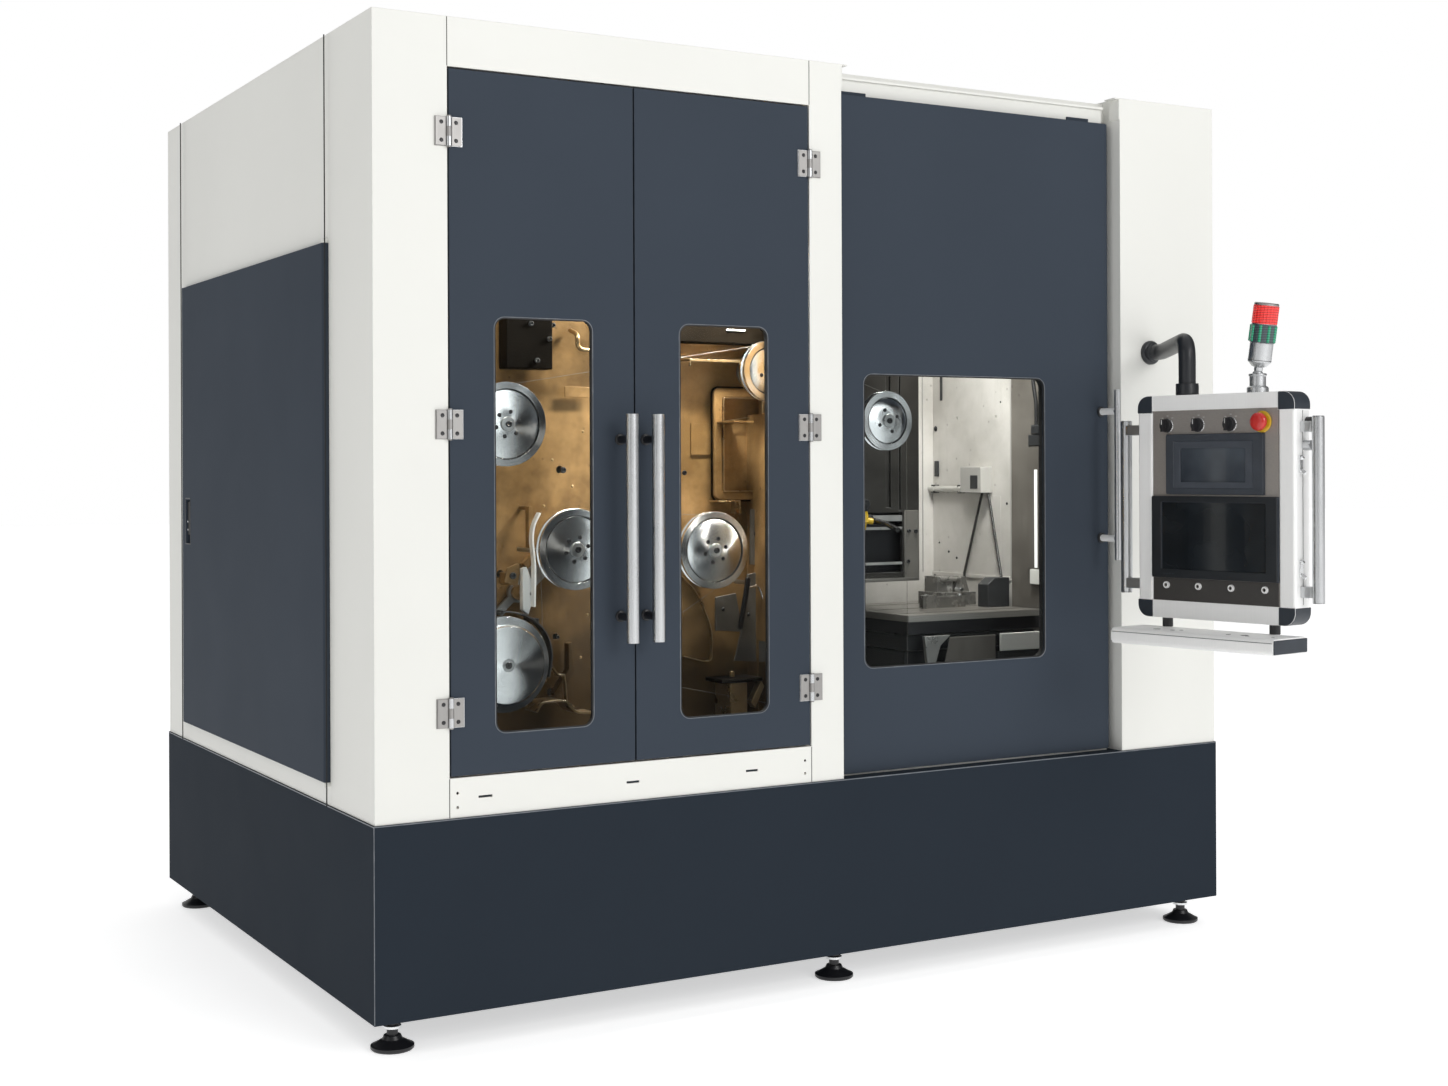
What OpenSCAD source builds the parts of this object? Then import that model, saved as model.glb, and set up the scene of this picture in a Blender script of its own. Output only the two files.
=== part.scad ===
// Diamond wire saw: an enclosed machine with an endless wire that runs over eight grooved wheels,
// a feed table behind a sliding door, and a control pendant on a bent arm.
// Reference point: on the floor, under the middle levelling foot of the front row.
// X runs to the right, Y to the back, Z up. Modules are written from the plinth's front left
// bottom corner, and in_frame() moves them to the reference point.

/* [Enclosure] */
// Width over the plinth
body_w = 2350; // [2250:10:2500]
// Depth over the plinth
body_d = 1685; // [1600:5:1800]
// Height from the plinth's underside to the roof
body_h = 2100; // [2060:10:2200]
// Height of the plinth
plinth_h = 412; // [390:2:430]
// Thickness of the plinth's walls
plinth_wall = 10; // [6:1:16]
// Thickness of the plinth's deck
deck_t = 14; // [10:1:20]
// Sheet thickness of the covers
panel_t = 3; // [2:0.5:4]
// How far the plinth stands out beyond the covers
panel_inset = 3; // [2:0.5:6]
// Folded depth of the front frame
frame_d = 22; // [18:1:24]
// Distance from the left side to the double doors
post_w = 168; // [140:2:190]
// How far the front left post wraps onto the side
post_wrap = 276; // [240:2:278]
// Width of both doors and their gaps
doors_w = 903; // [860:5:940]
// Width of the post between the doors and the bay
mid_post_w = 90; // [80:1:100]
// Height of the strip above the doors
lintel_h = 105; // [90:1:130]
// Height of the strip under the doors
sill_h = 84; // [70:1:100]
// Width of the right column
column_w = 326; // [300:2:340]
// Depth of the right column
column_d = 450; // [400:5:460]
// Gap between the side door and the rear corner cover
rear_corner_gap = 10; // [4:1:20]

/* [Levelling feet] */
// Height from the floor to the plinth
foot_h = 72; // [66:1:90]
// Distance of a foot from the plinth's end
foot_inset_x = 64; // [55:1:90]
// Distance of a foot from the plinth's front or back
foot_inset_y = 70; // [60:1:90]
// Diameter of a pad
pad_d = 92; // [80:1:110]
// Height of a pad
pad_h = 30; // [24:1:34]
// Diameter of a threaded stud
stud_d = 24; // [20:1:30]
// Height of the jam nut
jam_nut_h = 16; // [12:1:20]
// Width of the jam nut across its flats
jam_nut_af = 36; // [34:1:46]
// Depth of the tapped block inside the plinth
foot_block_h = 60; // [40:1:80]

/* [Double doors] */
// Gap around each door leaf
door_gap = 4; // [3:0.5:6]
// Sheet thickness of a door's skin and folds
skin_t = 2; // [1.5:0.5:3]
// Width of a window
window_w = 232; // [200:2:250]
// Height of a window
window_h = 887; // [700:1:950]
// Height of a window above the door's lower edge
window_sill = 84; // [60:2:120]
// Distance from the left post to the doors' meeting line
door_split = 441; // [430:1:470]
// Corner radius of a window
window_r = 24; // [12:1:40]
// Thickness of the glazing
glass_t = 5; // [4:1:6]
// Width of the rebate that holds the glazing
rebate_w = 14; // [10:1:18]
// Distance of the end hinges from the door's ends
hinge_end = 134; // [100:2:180]
// Height of a butt hinge
hinge_h = 62; // [50:1:80]
// Width of one hinge leaf, from the pin's axis
hinge_leaf_w = 31; // [26:1:36]
// Thickness of a hinge leaf
hinge_leaf_t = 3; // [2:0.5:4]
// Outer radius of a hinge knuckle
knuckle_r = 6; // [5:0.5:8]
// Radius of a hinge pin
hinge_pin_r = 3; // [2:0.5:3.5]
// Diameter of a door's pull bar
pull_d = 28; // [22:1:32]
// Length of a door's pull bar
pull_l = 500; // [400:10:600]
// Height of the pull bars above the door's lower edge
pull_z = 270; // [200:5:350]
// Gap between a door and its pull bar
pull_gap = 46; // [40:1:60]
// Distance of the left pull bar from the meeting edge
pull_off_left = 37; // [24:1:60]
// Distance of the right pull bar from the meeting edge
pull_off_right = 27; // [24:1:60]
// Diameter of a pull bar's standoff
standoff_d = 16; // [12:1:22]
// Distance of the standoffs from the bar's ends
standoff_end = 55; // [40:1:80]

/* [Sliding door] */
// Gap between the front frame and the sliding door
slide_gap = 3; // [2:0.5:4]
// Thickness of the sliding door
slide_t = 36; // [32:1:40]
// Distance from the roof to the sliding door's upper edge
slide_drop = 65; // [60:1:80]
// Gap under the sliding door
slide_foot_gap = 6; // [4:1:10]
// How far the sliding door reaches behind the middle post
slide_lap = 30; // [20:1:40]
// Gap between the sliding door and the right column
slide_end_gap = 8; // [6:1:12]
// Radius of the sliding door's right edge
slide_edge_r = 26; // [10:1:30]
// Distance of the window from the door's right edge
bay_window_far = 224; // [200:1:260]
// Height of the sliding door's window
bay_window_h = 705; // [600:5:760]
// Height of the window above the door's lower edge
bay_window_sill = 248; // [200:2:300]
// Distance of the window from the door's left edge
bay_window_edge = 108; // [100:1:140]
// Diameter of the sliding door's pull bar
slide_pull_d = 16; // [12:1:20]
// Length of the sliding door's pull bar
slide_pull_l = 436; // [380:1:480]
// Height of the pull bar above the door's lower edge
slide_pull_z = 490; // [440:5:560]
// Gap between the sliding door and its pull bar
slide_pull_gap = 56; // [45:1:60]
// Distance of the pull bar from the door's right edge
slide_pull_off = 38; // [36:1:60]
// Width of the plate over the upper guide
rail_w = 20; // [16:1:24]
// Height of the beam that carries the guide rail
beam_h = 47; // [40:1:52]
// Depth of the beam that carries the guide rail
beam_d = 40; // [35:1:50]
// Length of a guide shoe
carriage_l = 70; // [50:5:100]
// Running gap of the slides
run_gap = 0.3; // [0.2:0.1:0.5]

/* [Side door] */
// Distance of the side door from the front
side_y = 287; // [283:1:300]
// Width of the side door
side_w = 1203; // [1000:1:1203]
// Height of the side door above the plinth's underside
side_z = 463; // [455:1:480]
// Height of the side door
side_h = 1180; // [1000:5:1300]
// How far the side door stands out beyond the cover
side_proud = 13; // [11:1:16]
// Thickness of the side door
side_t = 22; // [20:1:26]
// Corner radius of the side door's outer edges
side_edge_r = 6; // [4:0.5:7]
// Height of the recessed latch
latch_h = 126; // [100:2:150]
// Width of the recessed latch
latch_w = 46; // [40:1:60]
// Distance of the latch from the door's rear edge
latch_off = 62; // [50:1:100]
// Height of the latch's middle above the door's lower edge
latch_z = 544; // [450:2:650]
// Radius of the side door's hinge pins
side_pin_r = 2.5; // [2:0.5:3]

/* [Wheels] */
// Distance of the wire from the front
wire_y = 250; // [240:1:262]
// Diameter of the diamond wire
wire_d = 1.0; // [0.6:0.1:1.4]
// Gap between the wire and the bottom of a groove
groove_gap = 0.3; // [0.2:0.1:0.6]
// Height of a wheel's lip above the wire
rim_lip = 8; // [6:1:10]
// Width of a wheel's rim
rim_w = 26; // [22:1:30]
// Radial depth of a wheel's rim
rim_depth = 17; // [12:1:18]
// Thickness of a wheel's web
web_t = 8; // [5:1:10]
// How far a wheel's web lies behind its rim
web_dish = 4; // [2:0.5:6]
// Radius of an idler axle
axle_r = 12; // [10:0.5:14]
// Radius of an idler's hub
hub_r = 28; // [24:1:29]
// Radius of the circle of holes in a wheel
wheel_hole_circle = 21; // [19:0.5:22]
// Radius of a hole in a wheel
wheel_hole_r = 3.5; // [2:0.5:4]
// Wire radius on the drive wheel
drive_r = 101; // [95:1:106]
// Length of the drive wheel's drum
drum_l = 42; // [30:1:60]
// Place of the drive wheel, from the left
drive_x = 397; // [390:1:405]
// Place of the drive wheel, above the plinth's underside
drive_z = 703; // [690:1:710]
// Wire radius on the upper wheel
upper_r = 88; // [80:1:92]
// Place of the upper wheel, from the left
upper_x = 405; // [395:1:420]
// Place of the upper wheel, above the plinth's underside
upper_z = 1249; // [1230:1:1280]
// Wire radius on the tension wheel
tension_r = 86; // [80:1:90]
// Place of the tension wheel, from the left
tension_x = 578; // [570:1:590]
// Place of the tension wheel, above the plinth's underside
tension_z = 960; // [950:1:970]
// Wire radius on the centre wheel
centre_r = 85; // [80:1:90]
// Place of the centre wheel, from the left
centre_x = 947; // [930:1:960]
// Place of the centre wheel, above the plinth's underside
centre_z = 949; // [930:1:970]
// Wire radius on the crossing wheel
crossing_r = 66; // [60:1:70]
// Place of the crossing wheel, from the left
crossing_x = 1105; // [1095:1:1115]
// Place of the crossing wheel, above the plinth's underside
crossing_z = 1385; // [1370:1:1400]
// Wire radius on the head and lower wheels
cut_r = 67; // [60:1:72]
// Place of the cutting plane, as a share of the bay's width
cut_share = 0.3407; // [0.33:0.0001:0.35]
// Place of the head wheel, above the plinth's underside
head_z = 1266; // [1240:1:1290]
// Place of the lower wheel, above the plinth's underside
lower_z = 560; // [550:1:575]
// Wire radius on the return wheel
return_r = 51; // [46:1:56]
// Place of the return wheel, from the left
return_x = 778; // [760:1:790]
// Place of the return wheel, above the plinth's underside
return_z = 693; // [680:1:710]
// Place of the tension arm's pivot, from the left
pivot_x = 470; // [465:1:480]
// Place of the tension arm's pivot, above the plinth's underside
pivot_z = 860; // [855:1:870]
// Thickness of the tension arm
arm_t = 12; // [8:1:14]
// Radius of the drive motor
motor_r = 82; // [70:1:90]

// Length of the drive motor
motor_l = 340; // [280:5:400]

// Radius of the drive shaft
shaft_r = 18; // [14:1:22]
// Radial running clearance of shafts and pins
run_fit = 0.05; // [0.02:0.01:0.1]
// Distance of the wheel plate from the front
plate_y = 345; // [342:1:350]
// Thickness of the wheel plate
plate_t = 12; // [8:1:14]

/* [Work bay] */
// Distance from the roof to the bay's ceiling
roof_drop = 97; // [90:1:110]

// Width of a louvre
louvre_w = 450; // [300:10:500]

// Pitch of the louvres
louvre_pitch = 30; // [24:1:36]

// Distance of the bay's back wall from the front
wall_y = 820; // [815:1:860]
// Distance of the saw head's face from the front
head_y = 400; // [395:1:410]
// Width of the saw head
head_w = 470; // [440:2:510]
// Distance of the saw head from the divider
head_off = 38; // [30:1:60]
// Height of the saw head's lower edge
head_bottom = 845; // [835:1:870]
// Distance of the table from the front
table_y = 312; // [306:1:330]
// Distance of the table from the cutting plane
table_off = 115; // [106:1:130]
// Gap between the table and the bay's right wall
table_gap = 14; // [10:1:40]
// Depth of the table
table_d = 430; // [380:5:436]
// Thickness of the table
table_t = 50; // [40:1:50]
// Height of the table's face above the plinth's underside
table_z = 760; // [758:1:775]
// Width of a T-slot
slot_w = 14; // [10:1:18]
// Height of a linear rail on the bed and saddle
way_h = 16; // [14:1:20]
// Width of a linear rail on the bed and saddle
way_w = 20; // [16:1:26]
// Thickness of the saddle
saddle_t = 40; // [30:1:44]
// Gap between the saddle or table and the rails' base
way_gap = 4; // [3:0.5:5]

/* [Pendant] */
// Width of the pendant
pendant_w = 450; // [420:5:480]
// Height of the pendant
pendant_h = 540; // [500:5:580]
// Depth of the pendant
pendant_d = 60; // [50:1:80]
// How far the pendant's left edge stands left of the right column
pendant_off = 117; // [100:1:134]
// How far the pendant's left edge stands in front
pendant_y = -190; // [-210:1:-180]
// Height of the pendant above the plinth's underside
pendant_z = 779; // [760:1:800]
// Turn of the pendant about the upright axis
pendant_turn = -81; // [-88:1:-70]
// Width of the pendant's aluminium profiles
profile_w = 45; // [40:1:50]
// Corner radius of the pendant
corner_r = 30; // [15:1:38]
// Distance of the swivel from the pendant's left edge
swivel_u = 125; // [110:1:150]
// Distance of the swivel behind the pendant's face
swivel_n = 32; // [26:1:36]
// Radius of the swivel's collar
collar_r = 26; // [24:1:30]
// Height of the swivel's collar
collar_h = 28; // [20:1:34]
// Distance of the arm's root from the right column's left side
arm_off = 100; // [80:1:120]

// Height of the arm's root above the plinth's underside
arm_z = 1444; // [1420:2:1460]

// Outer radius of the arm's tube
arm_tube_r = 20; // [18:0.5:23]
// Radius of the arm's spigot in the collar
spigot_r = 14; // [10:0.5:18]
// Height of the strip that holds the switches
strip_h = 57; // [50:1:64]
// Height of the small screen's unit
hmi_h = 145; // [130:1:147]
// Width of the small screen's unit
hmi_w = 268; // [220:2:300]
// Height of the monitor's unit
monitor_h = 198; // [180:1:205]
// Distance of the first switch from the pendant's left edge
switch_u = 89; // [75:1:95]
// Pitch of the selector switches
switch_pitch = 92; // [80:1:95]
// Radius of a selector's shaft
selector_r = 11; // [9:0.5:12]
// Radius of the stop button's head
stop_r = 20; // [15:0.5:22]
// Distance of the stop button from the pendant's left edge
stop_u = 362; // [350:1:375]
// Diameter of the pendant's side bars
side_bar_d = 28; // [20:1:32]
// Length of the pendant's side bars
side_bar_l = 425; // [380:5:460]
// Distance of a side bar's axis from the pendant
side_bar_off = 48; // [40:1:60]
// Width of the shelf
shelf_w = 462; // [420:2:480]
// Depth of the shelf
shelf_d = 134; // [90:1:140]
// Thickness of the shelf
shelf_t = 38; // [30:1:44]
// Gap between the pendant and the shelf
shelf_gap = 24; // [22:1:40]

/* [Lamp] */
// Distance of the lamp from the pendant's left edge
lamp_u = 323; // [300:1:330]
// Radius of the ball under the lamp
ball_r = 13; // [11:0.5:15]
// Height of the ball's centre above the pendant
ball_v = 42; // [40:1:50]
// Radius of the pin through the lamp's ball
lamp_pin_r = 3; // [2:0.5:4]

// Lean of the lamp at rest
lamp_lean = 9; // [0:1:15]
// Radius of a lens
lens_r = 28; // [22:1:32]
// Height of one lens
lens_h = 44; // [36:1:50]
// Height of the lamp's grey body
lamp_body_h = 46; // [36:1:60]

/* [Hidden] */
$fn = 64;

// ---- derived sizes ----
front_y = panel_inset;
door_back_y = front_y + frame_d;
left_x = panel_inset;
right_x = body_w - panel_inset;
back_y = body_d - panel_inset;
doors_x = post_w;
split_x = doors_x + door_split;
mid_x = doors_x + doors_w;
bay_x = mid_x + mid_post_w;
column_x = body_w - column_w;
sill_z = plinth_h + sill_h;
lintel_z = body_h - lintel_h;
door_h = lintel_z - sill_z - 2 * door_gap;
slide_y = door_back_y + slide_gap;
slide_x = bay_x - slide_lap;
slide_w = column_x - slide_end_gap - slide_x;
bay_window_w = slide_w - bay_window_edge - bay_window_far;
slide_z = plinth_h + slide_foot_gap;
slide_h = body_h - slide_drop - slide_z;
bay_roof_z = body_h - roof_drop;
rear_corner_y = side_y + side_w + rear_corner_gap;
cut_x = bay_x + cut_share * (column_x - bay_x);
table_x = cut_x + table_off;
table_w = column_x - table_gap - table_x;
pendant_x = column_x - pendant_off;
pendant_arm_x = column_x + arm_off;
side_inner_x = left_x + side_t - side_proud;
flange_w = 22;
rail_t = 4;
hinge_y = front_y - knuckle_r;
wire_r = wire_d / 2;
hub_front = wire_y - 15;
hub_back = wire_y + 17;
arm_y = plate_y - 5 - arm_t;
table_under = table_z - table_t;
saddle_top = table_under - way_gap;
saddle_under = saddle_top - saddle_t;
bed_top = saddle_under - way_gap;
low_v = 42;
top_v = 37;
shelf_v = -shelf_t - shelf_gap;
strip_v = pendant_h - top_v - strip_h;
hmi_v = strip_v - hmi_h;
monitor_v = hmi_v - monitor_h - 5;

module in_frame() {
    translate([-body_w / 2, -foot_inset_y, foot_h]) children();
}

module on_pendant() {
    translate([pendant_x, pendant_y, pendant_z]) rotate([0, 0, pendant_turn]) children();
}

// a block between two corners
module block(a, b) {
    translate(a) cube([b[0] - a[0], b[1] - a[1], b[2] - a[2]]);
}

// a flat shape in X and Z, from y0 to y1
module plate_xz(y0, y1) {
    translate([0, y1, 0]) rotate([90, 0, 0]) linear_extrude(y1 - y0) children();
}

// a flat shape in Y and Z, from x0 to x1
module plate_yz(x0, x1) {
    translate([x0, 0, 0]) rotate([90, 0, 90]) linear_extrude(x1 - x0) children();
}

// a round bar along Y
module bar_y(x, z, y0, y1, r) {
    translate([x, y0, z]) rotate([-90, 0, 0]) cylinder(r = r, h = y1 - y0);
}

// a round bar along X
module bar_x(y, z, x0, x1, r) {
    translate([x0, y, z]) rotate([0, 90, 0]) cylinder(r = r, h = x1 - x0);
}

// a rectangle with round corners, from its lower left corner
module soft_rect(w, h, r) {
    translate([r, 0]) square([w - 2 * r, h]);
    translate([0, r]) square([w, h - 2 * r]);
    for (x = [r, w - r])
        for (y = [r, h - r])
            translate([x, y]) circle(r = r);
}

// a bar between two points
module rod(a, b, r) {
    d = b - a;
    len = norm(d);
    translate(a)
        rotate([0, acos(d[2] / len), atan2(d[1], d[0])])
            cylinder(r = r, h = len);
}

// the tension arm's limb and tail
arm_dx = tension_x - pivot_x;
arm_dz = tension_z - pivot_z;
arm_angle = atan2(arm_dz, arm_dx);
arm_len = norm([arm_dx, arm_dz]);
arm_half = 22;
tail_x = pivot_x - 62 * cos(arm_angle);
tail_z = pivot_z - 62 * sin(arm_angle);

// ---- plinth and feet ----
module feet_places() {
    for (x = [foot_inset_x, body_w / 2, body_w - foot_inset_x])
        for (y = [foot_inset_y, body_d - foot_inset_y])
            translate([x, y, 0]) children();
}

module plinth() {
    color("#2f353e") in_frame() {
        difference() {
            cube([body_w, body_d, plinth_h]);
            translate([plinth_wall, plinth_wall, -1])
                cube([body_w - 2 * plinth_wall, body_d - 2 * plinth_wall, plinth_h - deck_t + 1]);
        }
        feet_places()
            difference() {
                translate([-62, -62, 0]) cube([124, 124, foot_block_h]);
                translate([0, 0, -1]) cylinder(r = stud_d / 2, h = foot_block_h + 2);
            }
    }
}

module levelling_feet() {
    color("#202225") in_frame() feet_places() {
        translate([0, 0, -foot_h]) rotate_extrude() polygon([
            [0, 0], [pad_d / 2 - 3, 0], [pad_d / 2, 3], [pad_d / 2, 9], [pad_d / 2 - 5, 11],
            [stud_d / 2 + 10, 22], [stud_d / 2 + 6, pad_h], [0, pad_h]
        ]);
        translate([0, 0, pad_h - foot_h])
            cylinder(r = stud_d / 2, h = foot_h - pad_h + foot_block_h);
        difference() {
            translate([0, 0, -jam_nut_h]) cylinder(r = jam_nut_af / sqrt(3), h = jam_nut_h, $fn = 6);
            translate([0, 0, -jam_nut_h - 1]) cylinder(r = stud_d / 2, h = jam_nut_h + 2);
        }
    }
}

// ---- fixed covers ----
module left_front_post() {
    color("#e9eae5") in_frame() translate([0, 0, plinth_h]) {
        h = body_h - plinth_h;
        block([left_x, front_y, 0], [post_w, front_y + panel_t, h]);
        block([left_x, front_y + panel_t, 0], [left_x + panel_t, post_wrap, h]);
        block([post_w - panel_t, front_y + panel_t, 0], [post_w, door_back_y, h]);
        block([left_x + panel_t, post_wrap - panel_t, 0],
              [left_x + panel_t + flange_w, post_wrap, h - panel_t]);
        block([left_x + panel_t, door_back_y, 0], [post_w, door_back_y + panel_t, h]);
    }
}

module mid_post() {
    color("#e9eae5") in_frame() translate([0, 0, plinth_h]) {
        h = body_h - plinth_h;
        block([mid_x, front_y, 0], [bay_x, front_y + panel_t, h]);
        for (x = [mid_x, bay_x - panel_t])
            block([x, front_y + panel_t, 0], [x + panel_t, door_back_y, h]);
    }
}

module lintel() {
    color("#e9eae5") in_frame() {
        block([post_w, front_y, lintel_z], [mid_x, front_y + panel_t, body_h]);
        block([post_w, front_y + panel_t, lintel_z], [mid_x, door_back_y, lintel_z + panel_t]);
        block([post_w, front_y + panel_t, body_h - panel_t], [mid_x, door_back_y, body_h]);
    }
}

module sill_strip() {
    color("#e9eae5") in_frame() difference() {
        union() {
            block([post_w, front_y, plinth_h], [mid_x, front_y + panel_t, sill_z]);
            block([post_w, front_y + panel_t, sill_z - panel_t], [mid_x, door_back_y, sill_z]);
        }
        for (s = [0.09, 0.48, 0.82])
            block([post_w + s * doors_w - 16, front_y - 1, plinth_h + 38],
                  [post_w + s * doors_w + 16, front_y + panel_t + 1, plinth_h + 43]);
        for (x = [post_w + 18, mid_x - 18])
            for (z = [22, 52])
                bar_y(x, plinth_h + z, front_y - 1, front_y + panel_t + 1, 3);
    }
}

module right_column() {
    color("#e9eae5") in_frame() translate([0, 0, plinth_h]) {
        h = body_h - plinth_h;
        difference() {
            block([column_x, front_y, 0], [right_x, column_d, h]);
            block([column_x + panel_t, front_y + panel_t, -1],
                  [right_x - panel_t, column_d - panel_t, h - panel_t]);
            bar_y(pendant_arm_x, arm_z - plinth_h, -1, front_y + panel_t + 1, arm_tube_r - 4);
        }
    }
}

module left_side_panel() {
    color("#dcdbd6") in_frame() {
        difference() {
            block([left_x, post_wrap, plinth_h], [left_x + panel_t, rear_corner_y, body_h - panel_t]);
            block([0, side_y - 4, side_z - 4], [20, side_y + side_w + 4, side_z + side_h + 4]);
        }
        // pivot brackets for the side door
        for (z = [side_z - 10, side_z + side_h + 0.5])
            block([left_x - side_proud + 1, side_y + 1, z], [left_x + panel_t + 8, side_y + 11, z + 9.5]);
        for (z = [side_z - 4.5, side_z + side_h - 12])
            translate([left_x - side_proud + side_edge_r, side_y + side_edge_r, z])
                cylinder(r = side_pin_r, h = 16.5);
        // magnetic catches behind the door's free edge
        for (z = [side_z + 120, side_z + side_h - 180])
            block([left_x + side_t - side_proud + 0.5, side_y + side_w - 20, z],
                  [left_x + side_t - side_proud + 20, rear_corner_y, z + 60]);
        for (z = [side_z + 120, side_z + side_h - 180])
            block([left_x + panel_t, side_y + side_w + 4, z],
                  [left_x + side_t - side_proud + 20, rear_corner_y, z + 60]);
    }
}

module right_side_panel() {
    color("#dcdbd6") in_frame() difference() {
        block([right_x - panel_t, column_d, plinth_h], [right_x, rear_corner_y, body_h - panel_t]);
        for (k = [0:9])
            block([right_x - 10, column_d + 250, plinth_h + 288 + louvre_pitch * k],
                  [right_x + 10, column_d + 250 + louvre_w, plinth_h + 298 + louvre_pitch * k]);
    }
}

module rear_covers() {
    color("#dcdbd6") in_frame() {
        for (x = [left_x, right_x - panel_t])
            block([x, rear_corner_y, plinth_h], [x + panel_t, back_y, body_h - panel_t]);
        difference() {
            block([left_x + panel_t, back_y - panel_t, plinth_h],
                  [right_x - panel_t, back_y, body_h - panel_t]);
            for (x = [body_w / 4 - louvre_w / 2, body_w * 3 / 4 - louvre_w / 2])
                for (k = [0:9])
                    block([x, back_y - 10, body_h - 600 + louvre_pitch * k],
                          [x + louvre_w, back_y + 10, body_h - 590 + louvre_pitch * k]);
            for (x = [bay_x, column_x])
                block([x - 1.5, back_y - 1.5, plinth_h - 1], [x + 1.5, back_y + 1, body_h]);
        }
        // recessed pulls of the rear covers
        for (x = [body_w / 8, bay_x + body_w / 9])
            block([x, back_y, plinth_h + 488], [x + 12, back_y + 0.8, plinth_h + 608]);
    }
}

module roof_panels() {
    y0 = beam_d + slide_y + slide_t + 4;
    color("#dcdbd6") in_frame() {
        block([left_x + panel_t, door_back_y + panel_t, body_h - panel_t], [bay_x, back_y, body_h]);
        block([left_x, post_wrap, body_h - panel_t], [left_x + panel_t, back_y, body_h]);
        block([column_x, column_d, body_h - panel_t], [right_x, back_y, body_h]);
        block([bay_x, y0, bay_roof_z], [column_x, back_y - panel_t, bay_roof_z + panel_t]);
        block([bay_x - panel_t, y0, bay_roof_z], [bay_x, back_y - panel_t, body_h - panel_t]);
        block([column_x, column_d, bay_roof_z], [column_x + panel_t, back_y - panel_t, body_h - panel_t]);
    }
}

// ---- inner walls ----
module wheel_plate() {
    color("#8c6a35") in_frame() {
        difference() {
            block([side_inner_x + 1, plate_y, plinth_h], [bay_x, plate_y + plate_t, bay_roof_z]);
            bar_y(drive_x, drive_z, plate_y - 1, plate_y + plate_t + 1, shaft_r + 6);
            block([upper_x - 105, plate_y - 1, upper_z + 21],
                  [upper_x + 15, plate_y + plate_t + 1, upper_z + 151]);
            for (p = [[drive_x - 67, pivot_z], [drive_x + 163, 620], [upper_x + 181, 1145], [433, 903]])
                bar_y(p[0], p[1], plate_y - 1, plate_y + plate_t + 1, 9);
            for (p = [[return_x - 78, 840], [return_x + 52, 560], [centre_x - 87, 1240], [573, 751]])
                bar_y(p[0], p[1], plate_y - 1, plate_y + plate_t + 1, 7);
        }
        bar_y(pivot_x, pivot_z, arm_y - 6, plate_y, axle_r);
        bar_y(pivot_x, pivot_z, arm_y + arm_t + 0.4, plate_y, axle_r + 8);
        bar_y(pivot_x, pivot_z, arm_y - 10, arm_y - 0.4, axle_r + 6);
        // stop for the tension arm, and the post of its spring
        translate([pivot_x, 0, pivot_z]) rotate([0, -arm_angle, 0])
            block([55, arm_y, arm_half + 0.3], [80, plate_y, arm_half + 18]);
        bar_y(tail_x, tail_z - 120, arm_y - 20, plate_y, 4);
    }
}

module chamber_walls() {
    color("#8c6a35") in_frame() {
        difference() {
            block([bay_x - 60, slide_y + slide_t + 26, plinth_h], [bay_x, plate_y, bay_roof_z]);
            block([bay_x - 57, slide_y + slide_t + 20, plinth_h - 1],
                  [bay_x - panel_t, plate_y + 1, bay_roof_z + 1]);
            block([bay_x - 70, wire_y - 45, crossing_z - 105],
                  [bay_x + 10, plate_y + 1, crossing_z + 100]);
            block([bay_x - 70, wire_y - 45, lower_z - 100],
                  [bay_x + 10, wire_y + 45, lower_z + 160]);
        }
        block([left_x + panel_t + flange_w + 1, slide_y + slide_t + 26, bay_roof_z],
              [bay_x - panel_t, plate_y + plate_t, bay_roof_z + panel_t]);
    }
}

module bay_walls() {
    color("#9c9c98") in_frame() {
        block([bay_x, wall_y, plinth_h], [column_x, wall_y + panel_t, bay_roof_z]);
        difference() {
            block([column_x, column_d, plinth_h], [column_x + panel_t, wall_y + panel_t, bay_roof_z]);
            block([column_x - 5, column_d + 110, plinth_h + 228],
                  [column_x + 10, column_d + 116, plinth_h + 648]);
            for (y = [column_d + 70, column_d + 250])
                for (z = [plinth_h + 348, plinth_h + 878])
                    bar_x(y, z, column_x - 5, column_x + 10, 4);
        }
        block([bay_x - panel_t, plate_y + plate_t, plinth_h], [bay_x, wall_y + panel_t, bay_roof_z]);
        // rail along the right wall, and a cable duct on the column
        block([column_x - rail_t, column_d + 5, table_z + 70], [column_x, wall_y, table_z + 80]);
        block([column_x - 9, column_d - 137, table_z + 65], [column_x, column_d - 89, table_z + 456]);
    }
}

// ---- sliding door track ----
guide_y = 26;
guide_h = 14;
rail_z = slide_z + slide_h;
module door_track() {
    color("#e4e5e1") in_frame() {
        // beam behind the door's head, with the upper guide under its plate
        y = slide_y + slide_t + 4;
        x0 = post_w + 20;
        x1 = column_x - 20;
        block([left_x + panel_t, y, rail_z + 12], [column_x, y + beam_d, rail_z + 12 + beam_h]);
        block([x0 - 10, slide_y + guide_y - rail_w / 2, rail_z + 40], [x1, y, rail_z + 46]);
        block([x0, slide_y + guide_y - 2, rail_z + 4], [x1, slide_y + guide_y + 2, rail_z + 40]);
        // folded brackets at both ends of the bay
        for (x = [bay_x, column_x - panel_t])
            block([x, front_y, body_h - 55], [x + panel_t, front_y + 39, body_h]);
        for (x = [bay_x, column_x - 17])
            block([x, front_y, body_h - panel_t], [x + 17, front_y + 39, body_h]);
        // lower guide
        y1 = slide_y + slide_t / 2;
        block([x0, y1 - 6, plinth_h], [x1, y1 + 6, plinth_h + 3]);
        block([x0, y1 - 2, plinth_h + 3], [x1, y1 + 2, plinth_h + guide_h]);
    }
}

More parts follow.
